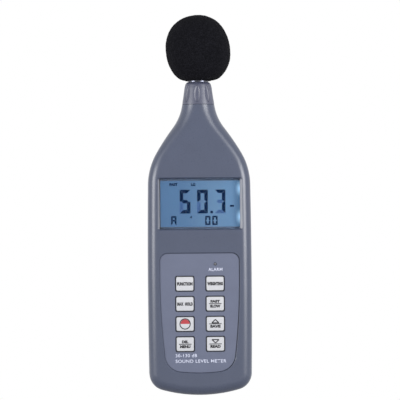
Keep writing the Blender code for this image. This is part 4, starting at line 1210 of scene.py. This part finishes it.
NUMBERED = [f"{kind}_{number}" for kind in ("battery_spring", "board_screw") for number in range(1, 5)]
NODE_MATERIALS = (
    (CLEAR, ("lcd_window",)),
    (BEZEL_PAINTED_SHADE, ("lcd_frame",)),
    (BACKLIGHT, ("lcd_backlight",)),
    (RUBBER, ("zebra_strip_upper", "zebra_strip_lower", "keypad_mat")),
    (BOARD, ("main_board",)),
    (BLACK, ("main_chip", "amplifier_chip", "mic_lead", "output_jack", "trimmer_body")),
    (WHITE_PLASTIC, ("mic_connector",)),
    (BRASS, ("trimmer_rotor",)),
    (STEEL, ("crystal", "mic_diaphragm", "contact_plate_lower", "contact_plate_upper", *NUMBERED)),
)
SOFT_EDGES = ("output_jack", "trimmer_rotor", "lcd_frame", "contact_plate_lower", "contact_plate_upper")


def carried_over():
    """Materials and soft edges for the CAD nodes that stay."""
    for material, names in NODE_MATERIALS:
        for name in names:
            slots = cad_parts[name].data.materials
            slots.clear()
            slots.append(material)
    for name in SOFT_EDGES:
        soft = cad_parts[name].modifiers.new("soft_edges", "BEVEL")
        soft.width = 0.1 * MM
        soft.segments = 2
        soft.limit_method = "ANGLE"
        soft.angle_limit = radians(50)


# ---------------------------------------------------------------- stage

CAMERA_DISTANCE = 1.25
CAMERA_YAW = radians(2.2)
CAMERA_ROLL = radians(0.45)
CAMERA_AIM = BASE + Vector((0.64 * MM, 0.0, 120.2 * MM))
PICTURE_HEIGHT = 248.0 * MM
SENSOR = 36.0
SOFTBOX_DISTANCE = 0.9
# Each softbox: name, bearing in degrees, height, width and length in metres, and power in watts.
SOFTBOXES = (
    ("left_box", -61.0, 0.11, 0.45, 0.32, 5.2),
    ("right_box", 47.0, 0.11, 0.42, 0.32, 5.7),
    ("left_top_box", -61.0, 0.55, 0.45, 0.5, 1.5),
    ("right_top_box", 47.0, 0.55, 0.42, 0.5, 3.5),
)
FLOOR_RADIUS = 0.66
FLOOR_DROP = 75.0 * MM


def camera():
    """A long lens square to the front, a little to the meter's left, with the picture's slight roll."""
    data = bpy.data.cameras.new("camera")
    data.sensor_width = SENSOR
    data.lens = SENSOR * CAMERA_DISTANCE / PICTURE_HEIGHT
    made = in_scene("camera", data)
    away = Vector((-sin(CAMERA_YAW), -cos(CAMERA_YAW), 0.0))
    made.location = CAMERA_AIM + away * CAMERA_DISTANCE
    made.rotation_mode = "QUATERNION"
    roll = Matrix.Rotation(-CAMERA_ROLL, 4, away)
    made.rotation_quaternion = (roll @ (-away).to_track_quat("-Z", "Y").to_matrix().to_4x4()).to_quaternion()
    bpy.context.scene.camera = made


def softbox(name, bearing, height, width, length, power):
    """A tall light on one side of the camera, square to the meter."""
    data = bpy.data.lights.new(name, "AREA")
    data.shape = "RECTANGLE"
    data.size = width
    data.size_y = length
    data.energy = power
    made = in_scene(name, data)
    turn = radians(bearing)
    made.location = (SOFTBOX_DISTANCE * sin(turn), -SOFTBOX_DISTANCE * cos(turn), height)
    made.rotation_euler = (pi / 2, 0.0, turn)


def floor_material_with_painted_shadow():
    """Pale paper with a painted shadow: greyer under the meter."""
    made, shader, coordinates = new_material("floor_paper_painted_shadow", (0.9, 0.9, 0.9), 0.9)
    distance = maths(made, "LENGTH", coordinates, kind=VECTORS["kind"])
    share = ranged(made, distance, 0.0, 1.0, 0.05, FLOOR_RADIUS * 0.8)
    # Painted shadow: the floor's tone darkens towards the point under the meter.
    tone = mixed(made, share, (0.42, 0.42, 0.425), (0.93, 0.93, 0.93))
    feed(made, tone, shader.inputs["Base Color"])
    bumped(made, shader, noise_node(made, coordinates, 2 * MM), 0.01 * MM)
    return made


def stage():
    """A white room, a pale floor and tall softboxes on both sides."""
    world = bpy.data.worlds.new("studio")
    world.use_nodes = True
    background = world.node_tree.nodes["Background"]
    background.inputs["Color"].default_value = (1.0, 1.0, 1.0, 1.0)
    background.inputs["Strength"].default_value = 1.0
    bpy.context.scene.world = world
    bpy.context.scene.view_settings.view_transform = "Standard"
    bm = bmesh.new()
    bmesh.ops.create_circle(bm, cap_ends=True, segments=96, radius=FLOOR_RADIUS)
    floor = in_scene("floor", mesh_from(bm, "floor"))
    floor.location = (0.0, 0.0, CAD_LOW.z - FLOOR_DROP)
    floor.data.materials.append(floor_material_with_painted_shadow())
    for numbers in SOFTBOXES:
        softbox(*numbers)


camera()
front_housing()
rear_housing()
battery_cover()
nose_cone()
microphone()
windscreen()
display()
keypad()
tripod_insert()
screws()
batteries()
carried_over()
stage()
